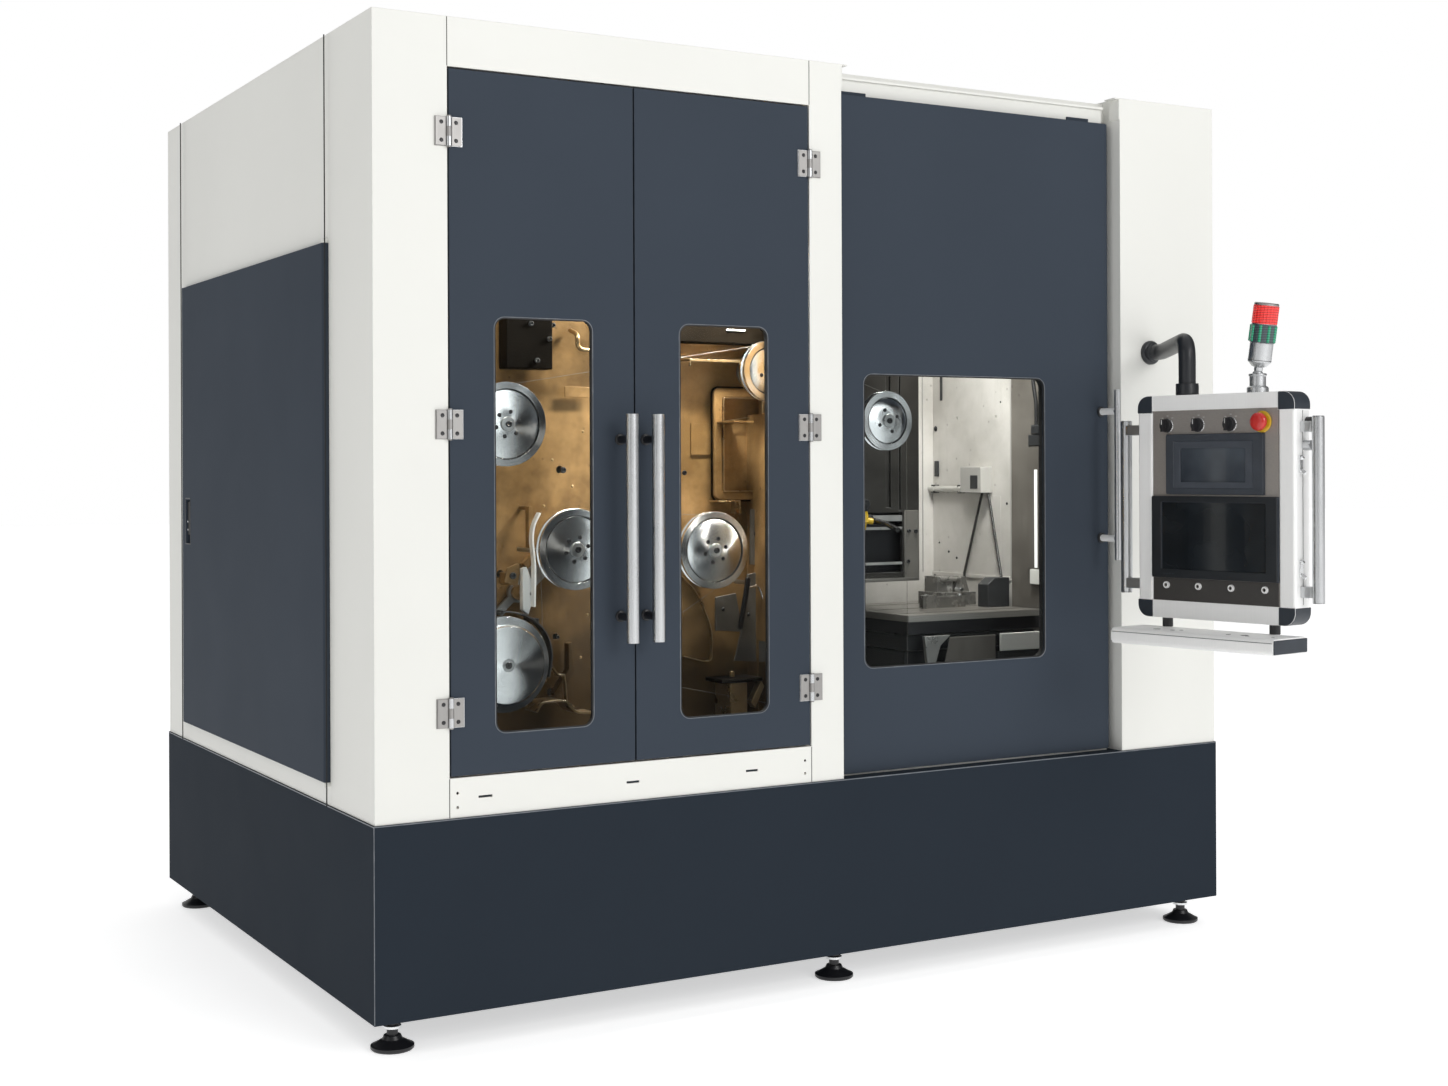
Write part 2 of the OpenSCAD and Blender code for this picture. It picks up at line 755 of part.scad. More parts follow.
// ---- double doors ----
module screws(points, y, r) {
    for (p = points)
        translate([p[0], y, p[1]]) rotate([90, 0, 0]) difference() {
            cylinder(r1 = r, r2 = r * 0.75, h = 1.6);
            translate([0, 0, 0.6]) cylinder(r = r * 0.45, h = 2, $fn = 6);
        }
}

hinge_heights = [door_h - hinge_end, door_h * 0.497, hinge_end];

module hinge_fixed(axis_x, side) {
    for (h = hinge_heights) translate([0, 0, sill_z + door_gap + h - hinge_h / 2]) {
        x0 = side > 0 ? axis_x - hinge_leaf_w : axis_x;
        translate([x0, front_y - hinge_leaf_t, 0]) cube([hinge_leaf_w, hinge_leaf_t, hinge_h]);
        translate([axis_x, hinge_y, hinge_h / 3 + 0.2]) cylinder(r = knuckle_r, h = hinge_h / 3 - 0.4);
        translate([axis_x, hinge_y, -2]) cylinder(r = hinge_pin_r, h = hinge_h + 4);
        translate([axis_x, hinge_y, hinge_h + 0.4]) cylinder(r = knuckle_r - 1, h = 2);
        translate([axis_x, hinge_y, -2.4]) cylinder(r = knuckle_r - 1, h = 2);
        screws([for (a = [10, 23]) for (b = [12, hinge_h - 12]) [axis_x - side * a, b]],
               front_y - hinge_leaf_t, 3.6);
    }
}

module fixed_hinges() {
    color("#b9bbbc") in_frame() {
        difference() {
            hinge_fixed(doors_x + door_gap / 2, 1);
            hinge_trim(doors_x + door_gap / 2);
        }
        difference() {
            hinge_fixed(mid_x - door_gap / 2, -1);
            hinge_trim(mid_x - door_gap / 2);
        }
    }
}

// room for the moving knuckles
module hinge_trim(axis_x) {
    for (h = hinge_heights)
        for (z = [-0.2, hinge_h * 2 / 3 - 0.2])
            translate([axis_x, hinge_y, sill_z + door_gap + h - hinge_h / 2 + z]) difference() {
                cylinder(r = knuckle_r + 0.6, h = hinge_h / 3 + 0.4);
                translate([0, 0, -1]) cylinder(r = hinge_pin_r, h = hinge_h);
            }
}

module hinge_moving(axis_x, side) {
    for (h = hinge_heights) translate([0, 0, sill_z + door_gap + h - hinge_h / 2]) {
        x0 = side > 0 ? axis_x : axis_x - hinge_leaf_w;
        difference() {
            union() {
                translate([x0, front_y - hinge_leaf_t, 0]) cube([hinge_leaf_w, hinge_leaf_t, hinge_h]);
                for (z = [0, hinge_h * 2 / 3])
                    translate([axis_x, hinge_y, z]) cylinder(r = knuckle_r, h = hinge_h / 3);
            }
            translate([axis_x, hinge_y, -1]) cylinder(r = hinge_pin_r + run_fit, h = hinge_h + 2);
            translate([axis_x, hinge_y, hinge_h / 3]) cylinder(r = knuckle_r + 0.6, h = hinge_h / 3);
        }
        screws([for (a = [10, 23]) for (b = [12, hinge_h - 12]) [axis_x + side * a, b]],
               front_y - hinge_leaf_t, 3.6);
    }
}

// a door leaf: folded skin and window rebate
module leaf(x0, w) {
    wx = (w - window_w) / 2;
    y1 = front_y + skin_t;
    translate([x0, 0, sill_z + door_gap]) {
        difference() {
            plate_xz(front_y, y1) square([w, door_h]);
            plate_xz(front_y - 1, y1 + 1)
                translate([wx, window_sill]) soft_rect(window_w, window_h, window_r);
        }
        difference() {
            block([0, y1, 0], [w, door_back_y, door_h]);
            block([skin_t, y1 - 1, skin_t], [w - skin_t, door_back_y + 1, door_h - skin_t]);
        }
        difference() {
            plate_xz(y1, y1 + glass_t + skin_t)
                translate([wx - rebate_w - 14, window_sill - rebate_w - 14])
                    square([window_w + 2 * rebate_w + 28, window_h + 2 * rebate_w + 28]);
            plate_xz(y1 - 1, y1 + glass_t)
                translate([wx - rebate_w, window_sill - rebate_w])
                    square([window_w + 2 * rebate_w, window_h + 2 * rebate_w]);
            plate_xz(y1, y1 + glass_t + skin_t + 1)
                translate([wx, window_sill]) soft_rect(window_w, window_h, window_r);
        }
    }
}

module pane(x0, w) {
    wx = (w - window_w) / 2;
    translate([x0, 0, sill_z + door_gap])
        plate_xz(front_y + skin_t, front_y + skin_t + glass_t)
            translate([wx - rebate_w + 0.5, window_sill - rebate_w + 0.5])
                square([window_w + 2 * rebate_w - 1, window_h + 2 * rebate_w - 1]);
}

module pull_bar(x, z, l, d, gap, off, y) {
    yc = y - gap - d / 2;
    translate([x, yc, z]) cylinder(r = d / 2, h = l);
    for (h = [off, l - off]) difference() {
        union() {
            bar_y(x, z + h, yc, y, standoff_d / 2);
            bar_y(x, z + h, y - 4, y, standoff_d / 2 + 3);
        }
        translate([x, yc, z]) cylinder(r = d / 2, h = l);
    }
}

left_leaf_x = doors_x + door_gap;
left_leaf_w = door_split - 1.5 * door_gap;
right_leaf_x = split_x + door_gap / 2;
right_leaf_w = mid_x - door_gap - right_leaf_x;

module left_door() {
    color("#414853") in_frame() leaf(left_leaf_x, left_leaf_w);
}

module right_door() {
    color("#414853") in_frame() leaf(right_leaf_x, right_leaf_w);
}

module left_window() {
    color("#b7a37a") in_frame() pane(left_leaf_x, left_leaf_w);
}

module right_window() {
    color("#b7a37a") in_frame() pane(right_leaf_x, right_leaf_w);
}

module left_door_fittings() {
    color("#c4c6c7") in_frame() {
        hinge_moving(doors_x + door_gap / 2, 1);
        pull_bar(split_x - pull_off_left, sill_z + pull_z, pull_l, pull_d, pull_gap,
                 standoff_end, front_y);
    }
}

module right_door_fittings() {
    color("#c4c6c7") in_frame() {
        hinge_moving(mid_x - door_gap / 2, -1);
        pull_bar(split_x + pull_off_right, sill_z + pull_z, pull_l, pull_d, pull_gap,
                 standoff_end, front_y);
    }
}

// ---- sliding door ----
module sliding_door() {
    wx = bay_window_edge;
    color("#414853") in_frame() translate([slide_x, slide_y, slide_z]) {
        difference() {
            linear_extrude(slide_h) {
                square([slide_w - slide_edge_r, slide_t]);
                translate([slide_w - slide_edge_r - 1, slide_edge_r])
                    square([slide_edge_r + 1, slide_t - slide_edge_r]);
                intersection() {
                    translate([slide_w - slide_edge_r, slide_edge_r]) circle(r = slide_edge_r);
                    square([slide_w, slide_t]);
                }
            }
            translate([0, skin_t, -1]) linear_extrude(slide_h + 2) {
                translate([skin_t, 0]) square([slide_w - slide_edge_r - skin_t, slide_t - 2 * skin_t]);
            }
            plate_xz(-1, skin_t + 1)
                translate([wx, bay_window_sill]) soft_rect(bay_window_w, bay_window_h, window_r);
            plate_xz(slide_t - 6, slide_t + 1)
                translate([wx - 20, bay_window_sill - 20])
                    soft_rect(bay_window_w + 40, bay_window_h + 40, window_r);
            block([-1, slide_t / 2 - 2 - run_gap, -1],
                  [slide_w + 1, slide_t / 2 + 2 + run_gap, guide_h - slide_foot_gap + run_gap]);
        }
        difference() {
            plate_xz(skin_t, skin_t + glass_t + skin_t)
                translate([wx - rebate_w - 12, bay_window_sill - rebate_w - 12])
                    square([bay_window_w + 2 * rebate_w + 24, bay_window_h + 2 * rebate_w + 24]);
            plate_xz(skin_t - 1, skin_t + glass_t)
                translate([wx - rebate_w, bay_window_sill - rebate_w])
                    square([bay_window_w + 2 * rebate_w, bay_window_h + 2 * rebate_w]);
            plate_xz(skin_t, skin_t + glass_t + skin_t + 1)
                translate([wx, bay_window_sill]) soft_rect(bay_window_w, bay_window_h, window_r);
        }
        // shoes round the upper and the lower guide
        for (x = [60, slide_w - 60 - carriage_l]) {
            block([x, skin_t, slide_h - 40], [x + carriage_l, slide_t - skin_t, slide_h]);
            difference() {
                block([x, guide_y - 7, slide_h], [x + carriage_l, guide_y + 7, slide_h + 12]);
                block([x - 1, guide_y - 2 - run_gap, slide_h + 2],
                      [x + carriage_l + 1, guide_y + 2 + run_gap, slide_h + 20]);
            }
            difference() {
                block([x, skin_t, 0], [x + carriage_l, slide_t - skin_t, 30]);
                block([x - 1, slide_t / 2 - 2 - run_gap, -1],
                      [x + carriage_l + 1, slide_t / 2 + 2 + run_gap, guide_h - slide_foot_gap + run_gap]);
            }
        }
    }
}

module bay_window() {
    color("#c9cccb") in_frame() translate([slide_x, slide_y, slide_z])
        plate_xz(skin_t, skin_t + glass_t)
            translate([bay_window_edge - rebate_w + 0.5, bay_window_sill - rebate_w + 0.5])
                square([bay_window_w + 2 * rebate_w - 1, bay_window_h + 2 * rebate_w - 1]);
}

module bay_handle() {
    color("#c4c6c7") in_frame()
        pull_bar(slide_x + slide_w - slide_pull_off, slide_z + slide_pull_z, slide_pull_l,
                 slide_pull_d, slide_pull_gap, standoff_end, slide_y);
}

// ---- side door ----
module side_door() {
    color("#414853") in_frame() translate([left_x - side_proud, side_y, side_z]) {
        ly = side_w - latch_off;
        difference() {
            linear_extrude(side_h) {
                translate([side_edge_r, 0]) square([side_t - side_edge_r, side_w]);
                translate([0, side_edge_r]) square([side_t, side_w - 2 * side_edge_r]);
                for (y = [side_edge_r, side_w - side_edge_r])
                    translate([side_edge_r, y]) circle(r = side_edge_r);
            }
            translate([skin_t, 14, skin_t]) cube([side_t, side_w - 28, side_h - 2 * skin_t]);
            translate([-1, ly - latch_w / 2, latch_z - latch_h / 2]) cube([20, latch_w, latch_h]);
            for (z = [-1, side_h - 13])
                translate([side_edge_r, side_edge_r, z]) cylinder(r = side_pin_r + run_fit, h = 14);
        }
        // recessed cup of the latch
        difference() {
            translate([0, ly - latch_w / 2, latch_z - latch_h / 2]) cube([side_t, latch_w, latch_h]);
            translate([-1, ly - latch_w / 2 + 3, latch_z - latch_h / 2 + 3])
                cube([side_t - 1, latch_w - 6, latch_h - 6]);
            bar_y(8, latch_z + latch_h / 2 - 14, ly - latch_w / 2 - 1, ly + latch_w / 2 + 1, 2 + run_fit);
        }
    }
}

module side_latch_paddle() {
    place = [left_x - side_proud, side_y + side_w - latch_off, side_z + latch_z];
    color("#26282b") in_frame() translate(place) {
        top = latch_h / 2 - 14;
        bar_y(8, top, -latch_w / 2, latch_w / 2, 2);
        block([4, -latch_w / 2 + 4, -34], [9, latch_w / 2 - 4, top + 6]);
    }
}

// ---- wheels ----
module wheel(x, z, r, holes) {
    ro = r + rim_lip;
    rb = r - wire_r - groove_gap;
    wb = wire_y + web_dish;
    translate([x, 0, z]) difference() {
        rotate([-90, 0, 0]) rotate_extrude() polygon([
            [axle_r + run_fit, hub_front], [hub_r, hub_front], [hub_r, wb - web_t / 2],
            [ro - rim_depth, wb - web_t / 2 - 1], [ro - rim_depth + 2, wire_y - rim_w / 2],
            [ro, wire_y - rim_w / 2], [ro, wire_y - 5], [rb, wire_y - 0.9],
            [rb, wire_y + 0.9], [ro, wire_y + 5], [ro, wire_y + rim_w / 2],
            [ro - rim_depth, wire_y + rim_w / 2], [ro - rim_depth, wb + web_t / 2],
            [hub_r, wb + web_t / 2], [hub_r, hub_back], [axle_r + run_fit, hub_back]
        ]);
        for (k = [0:holes - 1]) rotate([0, k * 360 / holes, 0])
            bar_y(wheel_hole_circle, 0, hub_front - 1, hub_back + 1, wheel_hole_r);
    }
}

module drive_wheel() {
    front = wire_y - drum_l + 8;
    ro = drive_r + rim_lip;
    rb = drive_r - wire_r - groove_gap;
    color("#c9cacb") in_frame() translate([drive_x, 0, drive_z]) difference() {
        rotate([-90, 0, 0]) rotate_extrude() polygon([
            [0, front], [ro - 22, front], [ro - 18, front + 5], [ro - 18, wire_y - 15],
            [ro, wire_y - 13], [ro, wire_y - 5], [rb, wire_y - 0.9], [rb, wire_y + 0.9],
            [ro, wire_y + 5], [ro, wire_y + 13], [ro - 18, wire_y + 13], [ro - 18, wire_y + 4],
            [shaft_r + 10, wire_y + 4], [shaft_r + 10, wire_y + 20], [shaft_r, wire_y + 20],
            [shaft_r, plate_y + plate_t + 30], [0, plate_y + plate_t + 30]
        ]);
        bar_y(0, 0, front - 1, front + 6, 15);
    }
    color("#8d8f90") in_frame()
        bar_y(drive_x, drive_z, front + 0, front + 6, 9);
}

module upper_wheel() {
    color("#c9cacb") in_frame() wheel(upper_x, upper_z, upper_r, 6);
}

module tension_wheel() {
    color("#c9cacb") in_frame() wheel(tension_x, tension_z, tension_r, 6);
}

module centre_wheel() {
    color("#c9cacb") in_frame() wheel(centre_x, centre_z, centre_r, 6);
}

module crossing_wheel() {
    color("#c9cacb") in_frame() wheel(crossing_x, crossing_z, crossing_r, 4);
}

module head_wheel() {
    color("#c9cacb") in_frame() wheel(cut_x, head_z, cut_r, 4);
}

module lower_wheel() {
    color("#c9cacb") in_frame() wheel(cut_x, lower_z, cut_r, 4);
}

module return_wheel() {
    color("#c9cacb") in_frame() wheel(return_x, return_z, return_r, 4);
}

// an idler axle with its shoulder, flange and end cap
module axle(x, z, y1) {
    translate([x, 0, z]) rotate([-90, 0, 0]) rotate_extrude() polygon([
        [0, hub_front - 6], [axle_r + 4, hub_front - 6], [axle_r + 5, hub_front - 5],
        [axle_r + 5, hub_front - 0.4], [axle_r, hub_front - 0.4], [axle_r, hub_back + 0.4],
        [axle_r + 6, hub_back + 0.4], [axle_r + 6, y1 - 8], [hub_r + 6, y1 - 8],
        [hub_r + 6, y1], [0, y1]
    ]);
}

module idler_axles() {
    color("#6f7275") in_frame() {
        axle(upper_x, upper_z, plate_y);
        axle(centre_x, centre_z, plate_y);
        axle(crossing_x, crossing_z, plate_y);
        axle(return_x, return_z, plate_y);
        axle(cut_x, head_z, head_y);
        axle(cut_x, lower_z, wire_y + 32);
    }
}

module tension_arm() {
    color("#7b7d7f") in_frame() {
        translate([pivot_x, 0, pivot_z]) rotate([0, -arm_angle, 0]) difference() {
            plate_xz(arm_y, arm_y + arm_t) {
                circle(r = axle_r + 12);
                translate([arm_len, 0]) circle(r = 30);
                translate([0, -arm_half]) square([arm_len, 2 * arm_half]);
                translate([-62, -9]) square([62, 18]);
                translate([-62, 0]) circle(r = 9);
            }
            bar_y(0, 0, arm_y - 1, arm_y + arm_t + 1, axle_r + run_fit);
        }
        bar_y(tail_x, tail_z, arm_y - 20, arm_y, 4);
        axle(tension_x, tension_z, arm_y);
    }
}

module drive_motor() {
    y0 = plate_y + plate_t;
    color("#4a4f57") in_frame() translate([drive_x, 0, drive_z]) {
        difference() {
            union() {
                bar_y(0, 0, y0, y0 + 40, motor_r + 13);
                bar_y(0, 0, y0 + 40, y0 + motor_l - 40, motor_r);
                block([-45, y0 + 90, motor_r - 4], [45, y0 + 180, motor_r + 48]);
            }
            bar_y(0, 0, y0 - 1, y0 + 31, shaft_r + run_fit);
        }
        bar_y(0, 0, y0 + motor_l - 40, y0 + motor_l, motor_r + 6);
    }
}

// a closed coil spring with an eye at each end
module tension_spring() {
    coils = 12;
    pitch = 7;
    color("#8d9092") in_frame() translate([tail_x, arm_y - 12, tail_z - 60]) {
        translate([0, 0, -coils * pitch / 2]) rotate_extrude() {
            square([7, coils * pitch]);
            for (k = [0:coils - 1])
                translate([7, pitch * (k + 0.5)]) circle(r = 3.2);
        }
        for (z = [-60, 60])
            translate([0, 0, z]) difference() {
                union() {
                    bar_y(0, 0, -2, 2, 8);
                    block([-3, -2, z > 0 ? -20 : 5], [3, 2, z > 0 ? -5 : 20]);
                }
                bar_y(0, 0, -3, 3, 4.4);
            }
    }
}

module wire_guards() {
    color("#a5854e") in_frame() {
        // shelf bracket over the centre wheel
        block([centre_x + 53, plate_y - 110, centre_z + 309], [centre_x + 109, plate_y, centre_z + 313]);
        block([centre_x - 7, plate_y - 4, centre_z + 231], [centre_x + 109, plate_y, centre_z + 309]);
        // bent bracket under the return wheel
        block([return_x + 42, plate_y - 90, plinth_h + 88], [return_x + 102, plate_y, plinth_h + 92]);
        block([return_x + 42, plate_y - 90, plinth_h + 92], [return_x + 46, plate_y, plinth_h + 168]);
        // lever left of the tension wheel
        block([pivot_x + 10, arm_y - 40, tension_z], [pivot_x + 20, arm_y - 22, tension_z + 100]);
        bar_y(pivot_x + 15, tension_z + 96, arm_y - 40, plate_y, 5);
    }
}

// ---- the closed wire ----
// place, radius and turning sense (1 turns clockwise from the front) of each wheel, in wire order
loop = [
    [drive_x, drive_z, drive_r, 1], [upper_x, upper_z, upper_r, 1],
    [crossing_x, crossing_z, crossing_r, 1], [cut_x, head_z, cut_r, 1],
    [cut_x, lower_z, cut_r, 1], [return_x, return_z, return_r, 1],
    [centre_x, centre_z, centre_r, -1], [tension_x, tension_z, tension_r, -1]
];

// direction of the straight run from wheel a to wheel b, which touches both on their wire circles
function run_angle(a, b) =
    let (dx = b[0] - a[0], dz = b[1] - a[1])
    atan2(dz, dx) - asin((a[3] * a[2] - b[3] * b[2]) / sqrt(dx * dx + dz * dz));

// how far the wire turns on wheel b, in degrees
function wrap(a, b, c) = (b[3] * (run_angle(a, b) - run_angle(b, c)) + 720) % 360;

// the wire's centre line on wheel b, in steps of at most wire_step degrees
wire_step = 7;
function on_wheel(a, b, c) =
    let (turn = wrap(a, b, c), steps = ceil(turn / wire_step), t = run_angle(a, b))
    [for (k = [0:steps]) let (d = t - b[3] * turn * k / steps)
        [b[0] - b[3] * b[2] * sin(d), b[1] + b[3] * b[2] * cos(d), d]];

module diamond_wire() {
    n = len(loop);
    sides = 8;
    path = [for (i = [0:n - 1]) each on_wheel(loop[i], loop[(i + 1) % n], loop[(i + 2) % n])];
    m = len(path);
    rings = [for (p = path) for (k = [0:sides - 1])
        let (a = k * 360 / sides, o = wire_r * cos(a))
        [p[0] - o * sin(p[2]), wire_y + wire_r * sin(a), p[1] + o * cos(p[2])]];
    faces = [for (i = [0:m - 1]) for (k = [0:sides - 1])
        let (j = (i + 1) % m, l = (k + 1) % sides)
        [i * sides + k, j * sides + k, j * sides + l, i * sides + l]];
    color("#8a8578") in_frame() polyhedron(points = rings, faces = faces, convexity = 6);
}

// ---- saw head, bed and table ----
module saw_head() {
    x0 = bay_x + head_off;
    x1 = x0 + head_w;
    color("#55595d") in_frame() {
        difference() {
            block([x0, head_y, head_bottom], [x1, wall_y, bay_roof_z]);
            block([x0 + 8, head_y + 12, head_bottom + 8], [x1 - 8, wall_y + 1, bay_roof_z - 8]);
            // slots of the slide, and the open space under it
            block([x1 - 107, head_y - 1, head_bottom + 196], [x1 - 91, head_y + 8, bay_roof_z - 123]);
            block([x1 - 66, head_y - 1, head_bottom + 189], [x1 - 59, head_y + 8, bay_roof_z - 123]);
            block([x0 + 60, head_y - 1, head_bottom + 24], [x1 - 54, head_y + 13, head_bottom + 183]);
        }
        // rails across the open space
        for (r = [[160, 15], [138, 6], [45, 6]])
            block([x0 + 60, head_y + 3, head_bottom + r[0]],
                  [x1 - 54, head_y + 12, head_bottom + r[0] + r[1]]);
    }
}

module bed() {
    color("#7d8083") in_frame() {
        block([table_x + 15, table_y + 40, plinth_h], [table_x + table_w - 5, wall_y, bed_top]);
        for (x = [table_x + 70, table_x + table_w - 90])
            block([x, table_y + 46, bed_top], [x + way_w, wall_y - 6, bed_top + way_h]);
        // pedestal of the lower wheel
        block([cut_x - 50, wire_y + 32, plinth_h], [cut_x + 50, wire_y + 62, lower_z + 45]);
        block([cut_x - 90, wire_y + 20, plinth_h], [cut_x + 90, wire_y + 90, plinth_h + 20]);
    }
}

module saddle() {
    color("#6a6d70") in_frame() {
        difference() {
            block([table_x + 10, table_y + 22, saddle_under],
                  [table_x + table_w - 4, table_y + table_d - 20, saddle_top]);
            for (x = [table_x + 70, table_x + table_w - 90])
                block([x - run_gap, table_y, saddle_under - 1],
                      [x + way_w + run_gap, wall_y, saddle_under + way_h - way_gap + run_gap]);
        }
        for (y = [table_y + 80, table_y + table_d - 100])
            block([table_x + 10, y, saddle_top],
                  [table_x + table_w - 4, y + way_w, saddle_top + way_h]);
    }
}

module worktable() {
    color("#8c8e90") in_frame() difference() {
        block([table_x, table_y, table_under], [table_x + table_w, table_y + table_d, table_z]);
        for (y = [table_y + 80, table_y + table_d - 100])
            block([table_x - 1, y - run_gap, table_under - 1],
                  [table_x + table_w + 1, y + way_w + run_gap, table_under + way_h - way_gap + run_gap]);
        for (y = [table_y + 60, table_y + 205, table_y + 350])
            block([table_x - 1, y, table_z - 16], [table_x + table_w + 1, y + slot_w, table_z + 1]);
    }
}

module work_fixture() {
    color("#9fa1a2") in_frame() translate([table_x, table_y, table_z]) {
        // clamp bar with its stop
        block([195, 188, 0], [328, 222, 30]);
        block([177, 178, 0], [221, 196, 36]);
        // vice: base, two jaws and a cross bar
        block([285, 240, 0], [404, 350, 36]);
        block([292, 270, 36], [346, 330, 80]);
        rotate([90, 0, 0]) translate([0, 0, -330]) linear_extrude(60)
            polygon([[354, 36], [404, 36], [390, 78], [362, 78]]);
        bar_x(270, 72, 300, 370, 7);
    }
    // dark end block
    color("#23262b") in_frame() translate([table_x, table_y, table_z])
        rotate([90, 0, 0]) translate([0, 0, -172]) linear_extrude(44)
            polygon([[360, 0], [434, 0], [434, 80], [384, 80], [360, 62]]);
}

module coolant_lines() {
    x = column_x;
    py = column_d + 90;
    pz = table_z + 324;
    nx = bay_x + head_off + 301;
    nz = head_bottom + 165;
    hose_r = 4;
    hx = x - rail_t - 1 - hose_r;
    color("#303234") in_frame() {
        // rigid pipe from the back wall to its box on the bay's right wall
        color("#a7a9aa") {
            bar_y(x - 12, pz, py + 90, wall_y, 8);
            block([x - 40, py, pz - 8], [x, py + 92, pz + 62]);
            for (y = [py + 125, wall_y - 30])
                block([x - 20, y, pz - 12], [x, y + 12, pz + 12]);
        }
        // two hoses from the box down to the rear of the table's side
        for (h = [[py + 30, py + 118], [py + 8, py - 51]]) {
            rod([hx, h[0], pz], [hx, h[1], table_z + 82], hose_r);
            translate([hx, h[1], table_z + 82]) sphere(r = hose_r + 0.6);
            rod([hx, h[1], table_z + 82], [hx, h[1], plinth_h], hose_r);
        }
        // nozzle on the saw head's upper rail
        bar_y(nx, nz, head_y - 14, head_y + 3, 14);
        rod([nx, head_y - 12, nz], [nx + 20, head_y - 60, nz - 10], 8);
        color("#d8a72c") rod([nx + 20, head_y - 60, nz - 10], [nx + 23, head_y - 110, nz - 25], 7);
    }
}

// ---- pendant ----
arm_x = pendant_x + swivel_u * cos(pendant_turn) - swivel_n * sin(pendant_turn);
arm_yy = pendant_y + swivel_u * sin(pendant_turn) + swivel_n * cos(pendant_turn);
arm_top = arm_z + 11;
arm_low = pendant_z + pendant_h + collar_h + 0.4;

module pendant_arm() {
    a = [pendant_arm_x, front_y, arm_z];
    b = [pendant_arm_x, front_y - 45, arm_z];
    c = [arm_x, arm_yy, arm_top];
    d = [arm_x, arm_yy, arm_low];
    color("#1f2124") in_frame() {
        bar_y(a[0], a[2], front_y - 10, front_y, arm_tube_r + 8);
        rod(a, b, arm_tube_r);
        translate(b) sphere(r = arm_tube_r + 1);
        rod(b, c, arm_tube_r);
        translate(c) sphere(r = arm_tube_r + 1);
        rod(d, c, arm_tube_r);
        translate(d - [0, 0, collar_h - 2]) cylinder(r = spigot_r, h = collar_h);
    }
}

module pendant_case() {
    color("#3a4048") in_frame() on_pendant() {
        difference() {
            block([profile_w, 10, low_v], [pendant_w - profile_w, pendant_d - 2, pendant_h - top_v]);
            block([profile_w + 2, 0, low_v + 2],
                  [pendant_w - profile_w - 2, pendant_d - 4, pendant_h - top_v - 2]);
        }
        for (z = [140, 180, 220, 260])
            block([120, pendant_d - 2, z], [330, pendant_d + 0.8, z + 10]);
    }
}

// aluminium profiles, dark corners and the swivel's collar
module pendant_frame() {
    color("#d9dadb") in_frame() on_pendant() {
        for (u = [0, pendant_w - profile_w])
            translate([u, 0, low_v - 1]) linear_extrude(pendant_h - 2 * low_v + 2) difference() {
                soft_rect(profile_w, pendant_d, 7);
                translate([profile_w / 2 - 5, pendant_d - 8]) square([10, 9]);
                translate([8, 10]) square([profile_w - 16, pendant_d - 24]);
            }
        block([profile_w - 1, 0, 0], [pendant_w - profile_w + 1, pendant_d, low_v]);
        block([profile_w - 1, 0, pendant_h - top_v], [pendant_w - profile_w + 1, pendant_d, pendant_h]);
        translate([swivel_u, swivel_n, pendant_h]) difference() {
            cylinder(r = collar_r, h = collar_h);
            translate([0, 0, 1]) cylinder(r = spigot_r + run_fit, h = collar_h);
        }
        translate([lamp_u, swivel_n + 6, pendant_h]) difference() {
            union() {
                cylinder(r = 24, h = 12);
                cylinder(r = ball_r + 5, h = ball_v + 3);
            }
            translate([0, 0, ball_v]) sphere(r = ball_r + run_fit);
            translate([0, 0, ball_v]) cylinder(r1 = ball_r - 2, r2 = ball_r + 2, h = 8);
        }
        // cross pin of the lamp's ball
        bar_y(lamp_u, pendant_h + ball_v, swivel_n + 3 - ball_r, swivel_n + 9 + ball_r, lamp_pin_r);
    }
    color("#23262b") in_frame() on_pendant()
        for (u = [0, pendant_w]) for (v = [0, pendant_h])
            pendant_corner(u, v);
}

module pendant_corner(u, v) {
    s = u > 0 ? -1 : 1;
    t = v > 0 ? -1 : 1;
    translate([u, 0, v]) mirror([s > 0 ? 0 : 1, 0, 0]) mirror([0, 0, t > 0 ? 0 : 1])
        plate_xz(-1, pendant_d + 1) {
            translate([corner_r, 0]) square([profile_w - corner_r, low_v]);
            translate([0, corner_r]) square([profile_w, low_v - corner_r]);
            intersection() {
                translate([corner_r, corner_r]) circle(r = corner_r);
                square([corner_r + 1, corner_r + 1]);
            }
        }
}

module pendant_fascia() {
    color("#b4b6b7") in_frame() on_pendant() {
        difference() {
            block([profile_w, 2, strip_v], [pendant_w - profile_w, 6, pendant_h - top_v]);
            for (k = [0:2])
                bar_y(switch_u + k * switch_pitch, strip_v + 21, 0, 10, selector_r + run_fit);
            bar_y(stop_u, strip_v + 25, 0, 10, selector_r + run_fit);
        }
        difference() {
            block([profile_w, 2, hmi_v - 5], [pendant_w - profile_w, 6, strip_v]);
            block([90, 0, hmi_v - 1], [90 + hmi_w + 8, 10, strip_v - 1]);
        }
        block([profile_w, 2, low_v], [pendant_w - profile_w, 6, monitor_v]);
        for (k = [0:3])
            translate([86 + k * 94, 2, 80]) rotate([90, 0, 0]) difference() {
                cylinder(r = 8, h = 6);
                translate([0, 0, 3]) cylinder(r = 4, h = 5, $fn = 6);
            }
        // yellow ring round the stop button
        color("#e2b413") difference() {
            bar_y(stop_u, strip_v + 25, 0.5, 2, 24);
            bar_y(stop_u, strip_v + 25, 0, 3, selector_r + run_fit);
        }
    }
}

module touch_panel() {
    color("#4b5058") in_frame() on_pendant() difference() {
        union() {
            block([88, -2, hmi_v - 0.5], [368, 2, strip_v - 0.5]);
            block([91, 2, hmi_v], [365, 9, strip_v - 2]);
        }
        block([130, -3, hmi_v + 28], [318, -0.5, strip_v - 34]);
    }
}

